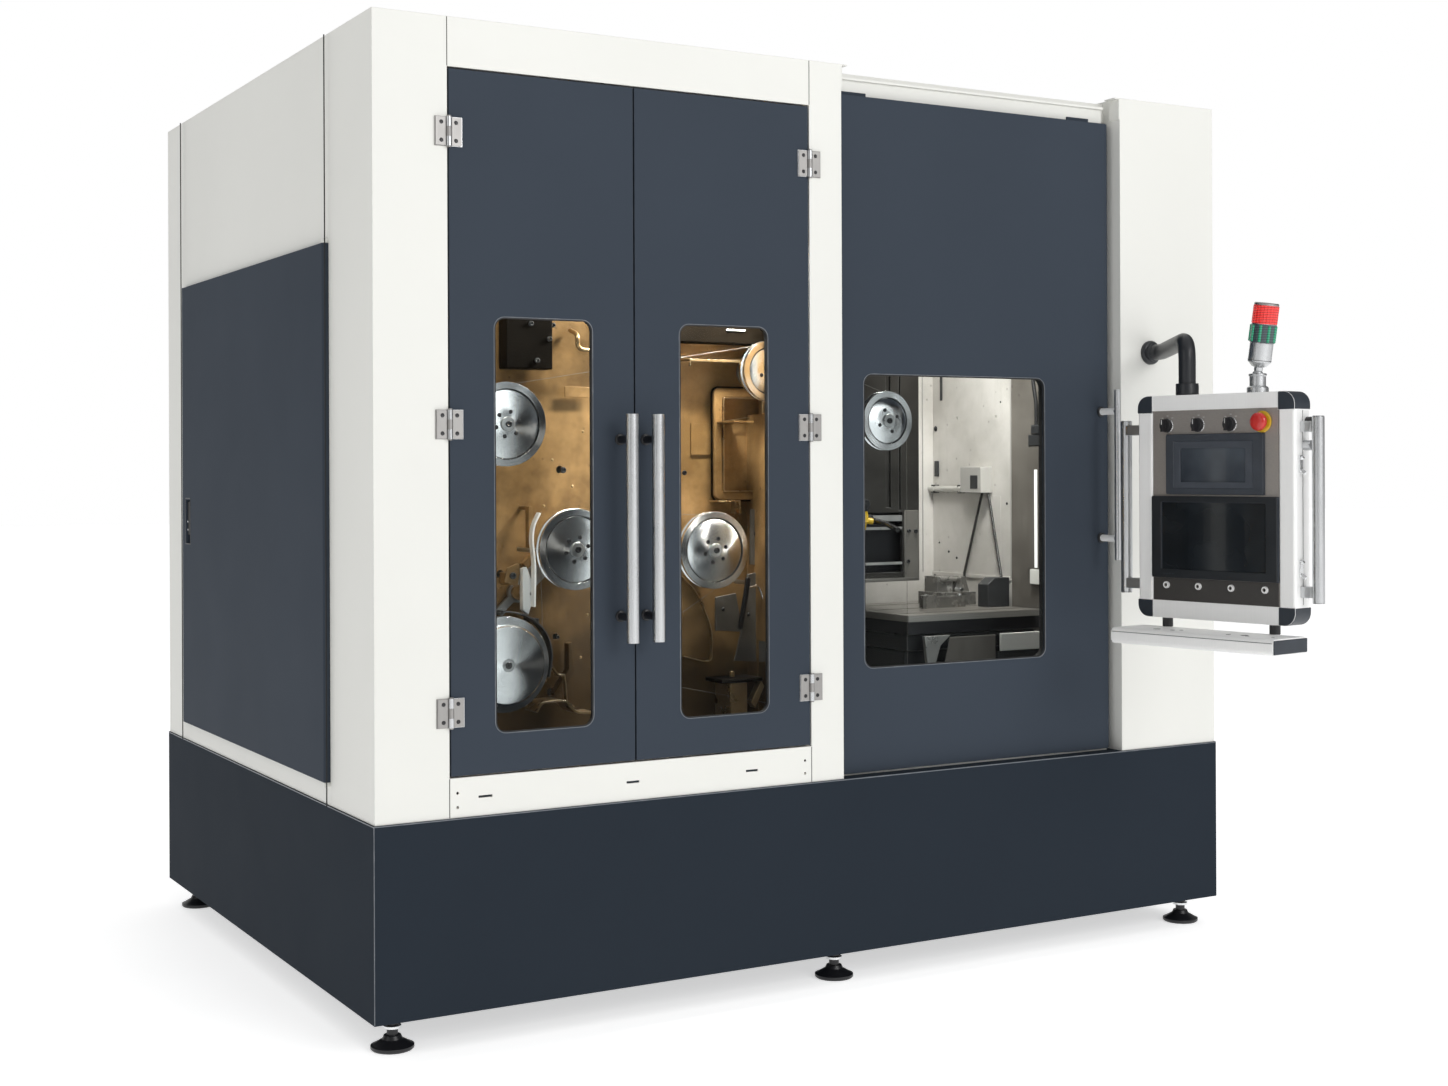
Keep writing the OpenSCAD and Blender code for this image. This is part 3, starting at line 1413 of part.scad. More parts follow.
module monitor() {
    color("#33373d") in_frame() on_pendant() {
        difference() {
            block([profile_w, -3, monitor_v], [pendant_w - profile_w, 9, hmi_v - 5]);
            block([75, -4, monitor_v + 20], [373, -1.5, hmi_v - 20]);
        }
    }
}

module side_handles() {
    bar_u = [-side_bar_off - side_bar_d / 2, pendant_w + side_bar_off - 8];
    color("#c4c6c7") in_frame() on_pendant() {
        for (u = bar_u)
            translate([u, swivel_n, 55]) cylinder(r = side_bar_d / 2, h = side_bar_l);
        for (v = [78, 458]) {
            difference() {
                block([bar_u[0], swivel_n - 12, v - 12], [0, swivel_n + 12, v + 12]);
                translate([bar_u[0], swivel_n, 55]) cylinder(r = side_bar_d / 2, h = side_bar_l);
            }
            difference() {
                block([pendant_w, swivel_n - 12, v - 12], [bar_u[1], swivel_n + 12, v + 12]);
                translate([bar_u[1], swivel_n, 55]) cylinder(r = side_bar_d / 2, h = side_bar_l);
            }
        }
        // clamp knob on the right profile
        color("#202225") translate([pendant_w, 38, 415]) rotate([0, 90, 0]) cylinder(r = 12, h = 22);
    }
}

module keyboard_shelf() {
    color("#c9cacb") in_frame() on_pendant() {
        translate([-6, 36 - shelf_d, shelf_v]) difference() {
            rotate([90, 0, 90]) linear_extrude(shelf_w) soft_rect(shelf_d, shelf_t, 12);
            for (u = [110, 150, 310, 350])
                translate([u, 45, shelf_t - 6]) cylinder(r = 5, h = 10);
        }
        for (u = [75, 382])
            translate([u, 18, shelf_v + shelf_t]) cylinder(r = 12, h = -shelf_v - shelf_t);
    }
}

// a rotary switch: shaft, knob and grip
module selector(k) {
    color("#1c1d1f") in_frame() on_pendant() translate([switch_u + k * switch_pitch, 0, strip_v + 21])
        rotate([90, 0, 0]) {
            translate([0, 0, -20]) cylinder(r = selector_r, h = 19);
            translate([0, 0, -1.6]) cylinder(r = 15, h = 12);
            translate([-3.5, -15, 10]) cube([7, 30, 12]);
        }
}

module selector_1() {
    selector(0);
}

module selector_2() {
    selector(1);
}

module selector_3() {
    selector(2);
}

module stop_button() {
    color("#c62626") in_frame() on_pendant() translate([stop_u, 0, strip_v + 25]) rotate([90, 0, 0]) {
        translate([0, 0, -22]) cylinder(r = selector_r, h = 32);
        translate([0, 0, 9]) cylinder(r1 = stop_r - 2, r2 = stop_r, h = 8);
        translate([0, 0, 17]) cylinder(r1 = stop_r, r2 = stop_r - 5, h = 7);
    }
}

module stack_light() {
    lens_z = ball_r + 17 + lamp_body_h;
    color("#b9bbbc") in_frame() on_pendant() translate([lamp_u, swivel_n + 6, pendant_h + ball_v])
        rotate([0, lamp_lean, 0]) {
            difference() {
                sphere(r = ball_r);
                bar_y(0, 0, -ball_r - 1, ball_r + 1, lamp_pin_r + run_fit);
            }
            translate([0, 0, ball_r - 3]) cylinder(r = 10, h = 10);
            translate([0, 0, ball_r + 7]) cylinder(r1 = 16, r2 = lens_r - 3, h = 10);
            translate([0, 0, ball_r + 17]) cylinder(r = lens_r - 2, h = lamp_body_h);
            color("#1d8f5a") translate([0, 0, lens_z]) cylinder(r = lens_r, h = lens_h);
            color("#d92f27") translate([0, 0, lens_z + lens_h]) cylinder(r = lens_r, h = lens_h);
            translate([0, 0, lens_z + 2 * lens_h]) cylinder(r = lens_r - 2, h = 5);
        }
}

plinth();
levelling_feet();
left_front_post();
mid_post();
lintel();
sill_strip();
right_column();
left_side_panel();
right_side_panel();
rear_covers();
roof_panels();
wheel_plate();
chamber_walls();
bay_walls();
door_track();
fixed_hinges();
saw_head();
idler_axles();
drive_motor();
tension_spring();
wire_guards();
diamond_wire();
bed();
coolant_lines();
pendant_arm();
left_door();
left_window();
left_door_fittings();
right_door();
right_window();
right_door_fittings();
sliding_door();
bay_window();
bay_handle();
side_door();
side_latch_paddle();
drive_wheel();
upper_wheel();
tension_wheel();
centre_wheel();
crossing_wheel();
head_wheel();
lower_wheel();
return_wheel();
tension_arm();
saddle();
worktable();
work_fixture();
pendant_case();
pendant_frame();
pendant_fascia();
touch_panel();
monitor();
side_handles();
keyboard_shelf();
selector_1();
selector_2();
selector_3();
stop_button();
stack_light();
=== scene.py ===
"""Looks of an enclosed diamond wire saw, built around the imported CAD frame.

Pieces are drawn in millimetres in a drawing frame: the machine's own, with X from the plinth's left
side, Y from its front and Z from its underside, or the pendant's, with U across, N into the case and
V up from its lower edge. Materials, lamps and the camera use the row frame, in metres.
"""

from __future__ import annotations

import logging
import math
from dataclasses import dataclass
from enum import Enum
from typing import Sequence

import bmesh
import bpy
from mathutils import Matrix, Vector

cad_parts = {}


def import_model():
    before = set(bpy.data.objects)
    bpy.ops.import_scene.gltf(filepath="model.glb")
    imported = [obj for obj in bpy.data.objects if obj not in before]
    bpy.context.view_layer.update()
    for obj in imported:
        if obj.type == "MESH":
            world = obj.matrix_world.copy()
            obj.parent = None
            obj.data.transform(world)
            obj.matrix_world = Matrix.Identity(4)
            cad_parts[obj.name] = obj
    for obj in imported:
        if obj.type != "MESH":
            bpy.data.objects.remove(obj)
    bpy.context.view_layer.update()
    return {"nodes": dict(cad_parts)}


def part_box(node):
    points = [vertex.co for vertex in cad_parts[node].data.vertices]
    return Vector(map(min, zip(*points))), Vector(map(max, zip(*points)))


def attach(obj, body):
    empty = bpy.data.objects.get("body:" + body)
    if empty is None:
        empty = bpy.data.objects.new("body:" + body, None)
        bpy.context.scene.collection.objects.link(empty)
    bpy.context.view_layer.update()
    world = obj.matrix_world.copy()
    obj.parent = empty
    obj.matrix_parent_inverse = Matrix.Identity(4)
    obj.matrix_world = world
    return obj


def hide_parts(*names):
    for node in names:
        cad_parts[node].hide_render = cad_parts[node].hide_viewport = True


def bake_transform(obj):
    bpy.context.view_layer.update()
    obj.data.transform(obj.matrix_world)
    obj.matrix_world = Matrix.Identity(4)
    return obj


log = logging.getLogger("wire_saw")
Colour = tuple[float, float, float]
Point = Sequence[float]
Flat = tuple[float, float]
Socket = bpy.types.NodeSocket
Material = bpy.types.Material
MM = 0.001
SHARP_EDGE, BEVELLED_EDGE = math.radians(34), math.radians(40)
FRONT, BACK, LEFT, RIGHT, UP = (0, -1, 0), (0, 1, 0), (-1, 0, 0), (1, 0, 0), (0, 0, 1)


# ---------------------------------------------------------------- node wiring


class Wiring:
    """One node material in the making."""

    def __init__(self, name: str) -> None:
        """Starts a material with a principled shader.

        Args:
            name: the material's name.
        """
        self.material = bpy.data.materials.new(name)
        self.material.use_nodes = True
        self.tree = self.material.node_tree
        self.tree.nodes.clear()
        self.shader = self.add("BsdfPrincipled")
        self.out = self.add("OutputMaterial", {"Surface": self.shader.outputs[0]})
        self.place = self.add("TexCoord").outputs["Object"]

    def add(self, kind: str, feeds: dict | None = None, **settings: object) -> bpy.types.Node:
        """Adds a node.

        Args:
            kind: Blender's name of the node type, without its "ShaderNode".
            feeds: what its input sockets are fed, by name or number.
            settings: its own properties.

        Returns:
            The new node.
        """
        node = self.tree.nodes.new(f"ShaderNode{kind}")
        for key, value in settings.items():
            setattr(node, key, value)
        for key, value in (feeds or {}).items():
            self.feed(node.inputs[key], value)
        return node

    def feed(self, socket: Socket, value: object) -> None:
        """Links a socket, or sets it where the value is plain.

        Args:
            socket: the node's input.
            value: another node's output, a number, or a colour or scale as a tuple.
        """
        if isinstance(value, Socket):
            self.tree.links.new(value, socket)
        else:
            colour = socket.type == "RGBA" and len(value) == 3
            socket.default_value = (*value, 1.0) if colour else value

    def maths(self, operation: str, a: object, b: object = 0.0, clamp: bool = False) -> Socket:
        """Wires one sum of two values or sockets."""
        return self.add("Math", {0: a, 1: b}, operation=operation, use_clamp=clamp).outputs[0]

    def stretch(self, scale: Point) -> Socket:
        """Scales the object's coordinates."""
        return self.add("Mapping", {"Vector": self.place, "Scale": tuple(scale)}).outputs[0]

    def noise(
        self, scale: float, detail: float = 4.0, where: Socket | None = None, rough: float = 0.5
    ) -> Socket:
        """Wires a noise.

        Args:
            scale: cycles to the metre.
            detail: octaves.
            where: coordinates, or None for the object's own.
            rough: how much the small octaves count.

        Returns:
            The noise's value, about 0.5 on average.
        """
        where = self.place if where is None else where
        feeds = {"Scale": scale, "Detail": detail, "Roughness": rough, "Vector": where}
        return self.add("TexNoise", feeds).outputs[0]

    def spread(self, value: Socket, low: float, high: float, start: float = 0.0, end: float = 1.0) -> Socket:
        """Maps the range from low to high onto the one from start to end, and clamps it."""
        feeds = {"Value": value, "From Min": low, "From Max": high, "To Min": start, "To Max": end}
        return self.add("MapRange", feeds).outputs[0]

    def mix(self, share: object, a: object, b: object) -> Socket:
        """Mixes two colours, with share of the second one."""
        return self.add("Mix", {0: share, 6: a, 7: b}, data_type="RGBA").outputs[2]

    def soft_normal(self, radius: float) -> Socket:
        """Rounds the surface's edges by a small radius in metres, and returns the normal."""
        return self.add("Bevel", {"Radius": radius}, samples=4).outputs[0]

    def edge_mask(self, normal: Socket) -> Socket:
        """Finds how near an edge a point is.

        Args:
            normal: the rounded normal.

        Returns:
            0 on flats, up to 1 on edges.
        """
        true = self.add("NewGeometry").outputs["Normal"]
        dot = self.add("VectorMath", {0: normal, 1: true}, operation="DOT_PRODUCT")
        return self.spread(dot.outputs["Value"], 0.995, 0.80)

    def bump(self, height: Socket, strength: float, depth: float, normal: Socket | None = None) -> Socket:
        """Wires a bump.

        Args:
            height: the height's socket.
            strength: from 0 to 1.
            depth: real depth in metres.
            normal: the normal that it disturbs, or None for the surface's own.

        Returns:
            The bumped normal.
        """
        feeds = {"Height": height, "Strength": strength, "Distance": depth}
        return self.add("Bump", feeds if normal is None else {**feeds, "Normal": normal}).outputs[0]

    def finish(self, **sockets: object) -> Material:
        """Feeds the principled shader.

        Args:
            sockets: what its inputs are fed, by name with underlines for the spaces.

        Returns:
            The material.
        """
        for key, value in sockets.items():
            self.feed(self.shader.inputs[key.replace("_", " ")], value)
        return self.material


def shades(colour: Colour, drift: float) -> tuple[Colour, Colour]:
    """Finds a colour's darker and lighter neighbours."""
    return tuple(c * (1 - drift) for c in colour), tuple(min(1.0, c * (1 + drift)) for c in colour)


# ---------------------------------------------------------------- finishes


class Axis(Enum):
    """A direction of the row frame."""

    X = (1.0, 0.0, 0.0)
    Y = (0.0, 1.0, 0.0)
    Z = (0.0, 0.0, 1.0)

    def along(self, fine: float, long: float) -> Point:
        """Scales that stretch a pattern along this axis."""
        return tuple(long if v else fine for v in self.value)


@dataclass(frozen=True)
class PowderCoat:
    """Powder coated sheet: a fine orange-peel grain, slow colour drift and edges tinted for light wear and a
    painted edge highlight.
    """

    name: str
    colour: Colour
    roughness: float = 0.42
    drift: float = 0.03
    gloss: float = 0.5
    edge: Colour = (0.55, 0.56, 0.58)
    edge_wear_and_highlight: float = 0.64
    grain: float = 900.0
    grain_depth: float = 0.00006
    radius: float = 0.0015

    def build(self) -> Material:
        """Makes the material.

        Returns:
            The material, ready for a mesh.
        """
        w = Wiring(self.name)
        normal = w.soft_normal(self.radius)
        # Edges mix towards the edge colour: partly light wear, partly a painted edge highlight.
        edge_tint = w.maths("MULTIPLY", w.edge_mask(normal), w.spread(w.noise(38.0, 5.0), 0.45, 0.72))
        base = w.mix(w.spread(w.noise(1.7, 3.0), 0.35, 0.65), *shades(self.colour, self.drift))
        return w.finish(
            Base_Color=w.mix(w.maths("MULTIPLY", edge_tint, self.edge_wear_and_highlight, clamp=True), base, self.edge),
            Roughness=w.spread(w.noise(6.0), 0.3, 0.7, self.roughness - 0.02, self.roughness + 0.02),
            Specular_IOR_Level=self.gloss,
            Normal=w.bump(w.noise(self.grain, 2.0), 0.55, self.grain_depth, normal),
        )


@dataclass(frozen=True)
class Brushed:
    """Metal brushed along one axis."""

    name: str
    colour: Colour
    axis: Axis = Axis.Z
    roughness: float = 0.30
    contrast: float = 0.10
    metallic: float = 1.0
    fine: float = 900.0
    radius: float = 0.0008

    def build(self) -> Material:
        """Makes the material.

        Returns:
            The material, ready for a mesh.
        """
        w = Wiring(self.name)
        lines = w.noise(1.0, 3.0, w.stretch(self.axis.along(self.fine, 6.0)))
        rough = w.spread(lines, 0.25, 0.75, self.roughness - 0.07, self.roughness + 0.08)
        return w.finish(
            Base_Color=w.mix(w.spread(lines, 0.3, 0.7), *shades(self.colour, self.contrast)),
            Metallic=self.metallic,
            Roughness=w.maths("ADD", rough, w.spread(w.noise(22.0), 0.35, 0.75, 0.0, 0.06)),
            Normal=w.bump(lines, 0.12, 0.00005, w.soft_normal(self.radius)),
        )


@dataclass(frozen=True)
class Turned:
    """Metal turned on a lathe about an axis along Y: fine rings and a fan-shaped highlight."""

    name: str
    centre: Flat
    colour: Colour = (0.80, 0.81, 0.82)
    roughness: float = 0.21
    rings: float = 1500.0
    fan: float = 0.92

    def build(self) -> Material:
        """Makes the material.

        Returns:
            The material, ready for a mesh.
        """
        w = Wiring(self.name)
        place = w.add("SeparateXYZ", {0: w.place}).outputs
        dx = w.maths("SUBTRACT", place[0], self.centre[0])
        dz = w.maths("SUBTRACT", place[2], self.centre[1])
        radius = w.maths("SQRT", w.maths("ADD", w.maths("MULTIPLY", dx, dx), w.maths("MULTIPLY", dz, dz)))
        ring = w.add("CombineXYZ", {0: radius, 1: place[1]}).outputs[0]
        grooves = w.noise(self.rings, 2.0, ring)
        bands = w.spread(w.noise(140.0, 3.0, ring), 0.3, 0.7)
        return w.finish(
            Base_Color=w.mix(bands, shades(self.colour, 0.05)[0], self.colour),
            Metallic=1.0,
            Roughness=w.spread(grooves, 0.2, 0.8, self.roughness - 0.02, self.roughness + 0.03),
            Anisotropic=self.fan,
            Tangent=w.add("Tangent", direction_type="RADIAL", axis="Y").outputs[0],
            Normal=w.bump(grooves, 0.04, 0.00001, w.soft_normal(0.0006)),
        )


@dataclass(frozen=True)
class Machined:
    """Machined or cast grey metal with oil film and small blotches."""

    name: str
    colour: Colour
    metallic: float = 1.0
    roughness: float = 0.38
    blotch: float = 0.25
    scale: float = 24.0
    edge_tint: Colour = (0.62, 0.62, 0.60)

    def build(self) -> Material:
        """Makes the material.

        Returns:
            The material, ready for a mesh.
        """
        w = Wiring(self.name)
        spots = w.noise(self.scale, 6.0, rough=0.62)
        normal = w.soft_normal(0.001)
        base = w.mix(w.spread(spots, 0.34, 0.66), shades(self.colour, self.blotch)[0], self.colour)
        return w.finish(
            Base_Color=w.mix(w.maths("MULTIPLY", w.edge_mask(normal), 0.5), base, self.edge_tint),
            Metallic=self.metallic,
            Roughness=w.spread(spots, 0.3, 0.7, self.roughness - 0.10, self.roughness + 0.10),
            Normal=w.bump(w.noise(420.0, 3.0), 0.35, 0.00008, normal),
        )


@dataclass(frozen=True)
class OiledPlate:
    """The chamber's coated plate: golden brown with run marks and oil spots, and painted shade towards its
    foot.
    """

    name: str
    light: Colour
    dark: Colour
    roughness: float = 0.42
    metallic: float = 0.2
    foot_shade: float = 0.0
    gloss: float = 0.4
    shade_start: float = 1.16
    shade_full: float = 0.70

    def build(self) -> Material:
        """Makes the material.

        Returns:
            The material, ready for a mesh.
        """
        w = Wiring(self.name)
        clouds = w.noise(5.5, 6.0, rough=0.62)
        runs = w.spread(w.noise(1.0, 5.0, w.stretch((34.0, 34.0, 3.0))), 0.56, 0.74, 0.0, 0.45)
        dots = w.add("TexVoronoi", {"Scale": 26.0, "Vector": w.place}).outputs["Distance"]
        spots = w.maths("MULTIPLY", w.spread(dots, 0.11, 0.04), 0.55)
        drift = w.spread(clouds, 0.2, 0.8, -0.12, 0.12)
        height = w.maths("ADD", w.add("SeparateXYZ", {0: w.place}).outputs[2], drift)
        # Painted shade: the colour darkens towards the plate's foot.
        foot_shade = w.spread(height, self.shade_start, self.shade_full, 0.0, self.foot_shade)
        base = w.mix(w.spread(clouds, 0.36, 0.64), self.dark, self.light)
        for share, depth in ((runs, 1.0), (spots, 0.35), (foot_shade, 0.16)):
            base = w.mix(share, base, tuple(c * depth for c in self.dark))
        return w.finish(
            Base_Color=base,
            Metallic=self.metallic,
            Specular_IOR_Level=self.gloss,
            Roughness=w.spread(clouds, 0.3, 0.7, self.roughness - 0.10, self.roughness + 0.14),
            Normal=w.bump(w.noise(90.0), 0.25, 0.0002, w.soft_normal(0.001)),
        )


@dataclass(frozen=True)
class Moulded:
    """Moulded plastic or rubber with a fine grain."""

    name: str
    colour: Colour
    roughness: float = 0.42
    grain: float = 1200.0
    coat: float = 0.0

    def build(self) -> Material:
        """Makes the material.

        Returns:
            The material, ready for a mesh.
        """
        w = Wiring(self.name)
        dust = w.spread(w.noise(30.0), 0.35, 0.75)
        return w.finish(
            Base_Color=w.mix(dust, shades(self.colour, 0.2)[0], self.colour),
            Roughness=w.spread(w.noise(14.0, 3.0), 0.3, 0.7, self.roughness - 0.05, self.roughness + 0.08),
            Coat_Weight=self.coat,
            Normal=w.bump(w.noise(self.grain, 2.0), 0.3, 0.00004, w.soft_normal(0.0008)),
        )


@dataclass(frozen=True)
class Pane:
    """A thin clear pane: it lets light straight through and mirrors a little at a slant."""

    name: str
    tint: Colour = (0.92, 0.94, 0.94)
    mirror: float = 0.12

    def build(self) -> Material:
        """Makes the material.

        Returns:
            The material, ready for a mesh.
        """
        w = Wiring(self.name)
        clear = w.add("BsdfTransparent", {"Color": self.tint})
        gloss = w.add("BsdfGlossy", {"Roughness": 0.04})
        smear = w.spread(w.noise(7.0, 5.0), 0.4, 0.8, 0.6, 1.0)
        facing = w.maths("MULTIPLY", w.add("Fresnel", {"IOR": 1.38}).outputs[0], smear)
        share = w.maths("MULTIPLY", facing, self.mirror)
        mixed = w.add("MixShader", {0: share, 1: clear.outputs[0], 2: gloss.outputs[0]})
        w.feed(w.out.inputs["Surface"], mixed.outputs[0])
        w.tree.nodes.remove(w.shader)
        return w.material


@dataclass(frozen=True)
class Screen:
    """A dark switched-off display: soft clouding under a glossy cover."""

    name: str
    dark: Colour = (0.006, 0.008, 0.010)
    light: Colour = (0.016, 0.020, 0.024)
    cover: float = 0.25

    def build(self) -> Material:
        """Makes the material.

        Returns:
            The material, ready for a mesh.
        """
        w = Wiring(self.name)
        return w.finish(
            Base_Color=w.mix(w.spread(w.noise(9.0, 2.0), 0.3, 0.7), self.dark, self.light),
            Roughness=w.spread(w.noise(4.0, 2.0), 0.3, 0.8, 0.10, 0.16),
            Specular_IOR_Level=0.3,
            Coat_Weight=self.cover,
        )


@dataclass(frozen=True)
class Lens:
    """A ribbed coloured lamp lens that glows a little."""

    name: str
    colour: Colour
    glow: float = 0.25

    def build(self) -> Material:
        """Makes the material.

        Returns:
            The material, ready for a mesh.
        """
        w = Wiring(self.name)
        wave = {"Scale": 55.0, "Vector": w.place}
        rib = w.add("TexWave", wave, wave_type="BANDS", bands_direction="Z").outputs["Fac"]
        colour = w.mix(w.spread(rib, 0.2, 0.8), shades(self.colour, 0.45)[0], self.colour)
        return w.finish(
            Base_Color=colour,
            Roughness=0.18,
            Coat_Weight=0.5,
            Emission_Color=colour,
            Emission_Strength=self.glow,
            Normal=w.bump(rib, 0.25, 0.0006),
        )


class Finishes:
    """Every finish of the machine, made once."""

    def __init__(self) -> None:
        """Makes the shared materials."""
        steel = (0.60, 0.61, 0.62)
        slate, plinth = (0.046, 0.057, 0.074), (0.024, 0.031, 0.041)
        self.slate = PowderCoat("slate_coat", slate, 0.50, gloss=0.02, edge=(0.20, 0.21, 0.23)).build()
        # A lighter slate, used as a painted highlight on the plinth's edges and round the door windows.
        self.slate_painted_highlight = PowderCoat("slate_painted_highlight", (0.13, 0.145, 0.165), 0.34).build()
        self.plinth = PowderCoat("plinth_coat", plinth, 0.50, gloss=0.01, edge=(0.16, 0.17, 0.18)).build()
        self.white = PowderCoat("white_coat", (0.79, 0.79, 0.75), 0.5, 0.015, edge=(0.66, 0.66, 0.63)).build()
        self.box = PowderCoat("box_coat", (0.36, 0.35, 0.33), 0.36).build()
        self.black = PowderCoat("black_coat", (0.01, 0.01, 0.012), 0.34, 0.1, edge=(0.12, 0.12, 0.12)).build()
        satin = (0.016, 0.018, 0.022)
        self.satin = PowderCoat("satin_black", satin, 0.34, 0.1, edge=(0.06, 0.07, 0.08)).build()
        self.stainless_z = Brushed("stainless_upright", steel, Axis.Z, 0.26, 0.05).build()
        self.stainless_x = Brushed("stainless_level", steel, Axis.X).build()
        self.hinge = Brushed("hinge_steel", (0.36, 0.35, 0.34), Axis.Z, 0.44, 0.06).build()
        self.profile = Brushed("anodised_profile", (0.95, 0.95, 0.94), Axis.Z, 0.42, 0.02, 0.12).build()
        self.fascia = Brushed("fascia_steel", (0.40, 0.37, 0.345), Axis.Y, 0.40, 0.08, 0.7).build()
        # Painted shade and reflection: a dark strip below the monitor, for its shadow and dark reflection.
        self.shade_strip = Brushed("fascia_shade_strip_steel", (0.085, 0.08, 0.076), Axis.Y, 0.4, 0.08, 0.6).build()
        self.table_side = Brushed("table_side", (0.34, 0.325, 0.30), Axis.X, 0.42, metallic=0.4).build()
        self.chrome = Machined("bright_screws", (0.78, 0.79, 0.80), 1.0, 0.16, 0.10).build()
        self.steel = Machined("machined_steel", (0.47, 0.48, 0.48), 1.0, 0.34, 0.20).build()
        self.cast = Machined("cast_grey", (0.135, 0.122, 0.105), 0.35, 0.46, 0.3).build()
        self.dark = Machined("dark_machine_paint", (0.035, 0.037, 0.040), 0.2, 0.42, 0.3).build()
        self.head = Machined("head_paint", (0.042, 0.038, 0.033), 0.3, 0.42, 0.4, 7.0).build()
        self.gilt = Machined("gilded_steel", (0.52, 0.37, 0.19), 0.9, 0.32, 0.35).build()
        self.table = Machined("ground_table", (0.24, 0.225, 0.205), 0.6, 0.38, 0.22, 5.0).build()
        self.fixture = Machined("fixture_steel", (0.33, 0.32, 0.30), 0.7, 0.26, 0.35).build()
        self.rail = Machined("bright_rail", (0.55, 0.54, 0.52), 0.7, 0.34, 0.12).build()
        self.grit = Machined("diamond_grit", (0.28, 0.26, 0.23), 0.9, 0.5, 0.5, 900.0).build()
        bronze = ((0.46, 0.275, 0.110), (0.20, 0.115, 0.042))
        near_black = ((0.007, 0.005, 0.003), (0.003, 0.002, 0.001))
        # The chamber plate carries painted shade towards its foot.
        self.bronze = OiledPlate("chamber_plate", *bronze, 0.42, 0.25, 0.80).build()
        self.bay = OiledPlate("bay_panel", (0.62, 0.60, 0.57), (0.47, 0.45, 0.42)).build()
        # Near black: the duct's and the switch cap's colour, and painted shade on the shadowed box and the
        # rim round the plate's window.
        self.near_black = OiledPlate("near_black_plate", *near_black, 0.50, 0.0, gloss=0.05).build()
        self.lining = OiledPlate("bay_lining", (0.18, 0.166, 0.148), (0.11, 0.10, 0.088), 0.44).build()
        self.hose = Moulded("glossy_hose", (0.030, 0.029, 0.028), 0.14, coat=1.0).build()
        self.cap = Moulded("dark_cap_plastic", (0.026, 0.034, 0.046), 0.40).build()
        self.mark = Moulded("white_mark", (0.72, 0.72, 0.72), 0.4).build()
        self.plastic = Moulded("black_plastic", (0.018, 0.018, 0.020), 0.36).build()
        self.rubber = Moulded("seal_rubber", (0.010, 0.010, 0.011), 0.62, 500.0).build()
        self.red = Moulded("red_plastic", (0.62, 0.020, 0.016), 0.28, coat=0.5).build()
        self.yellow = Moulded("yellow_plastic", (0.80, 0.50, 0.02), 0.34, coat=0.3).build()
        self.bezel = Moulded("bezel_plastic", (0.046, 0.054, 0.068), 0.40).build()
        self.bezel_light = Moulded("bezel_inner_plastic", (0.066, 0.076, 0.094), 0.36).build()
        self.monitor = Moulded("monitor_plastic", (0.014, 0.017, 0.021), 0.34).build()
        self.pane = Pane("door_pane").build()
        self.screen = Screen("display_glass").build()
        self.screen_lit = Screen("panel_glass", (0.030, 0.036, 0.046), (0.075, 0.088, 0.105)).build()
        self.glow = Lens("lamp_tube", (0.95, 0.95, 0.92), 1.0).build()
        self.lamp_red = Lens("lens_red", (0.75, 0.03, 0.025), 0.35).build()
        self.lamp_green = Lens("lens_green", (0.02, 0.30, 0.16), 0.25).build()
        self.lens_dark = Lens("lens_dark", (0.05, 0.08, 0.09), 0.0).build()


def paint(obj: bpy.types.Object, material: Material) -> None:
    """Gives an object one material."""
    obj.data.materials.clear()
    obj.data.materials.append(material)


def place_in_scene(name: str, data: bpy.types.ID) -> bpy.types.Object:
    """Makes an object and links it to the scene.

    Args:
        name: the object's name.
        data: its mesh, lamp or camera.

    Returns:
        The object.
    """
    obj = bpy.data.objects.new(name, data)
    bpy.context.scene.collection.objects.link(obj)
    return obj


# ---------------------------------------------------------------- mesh tools


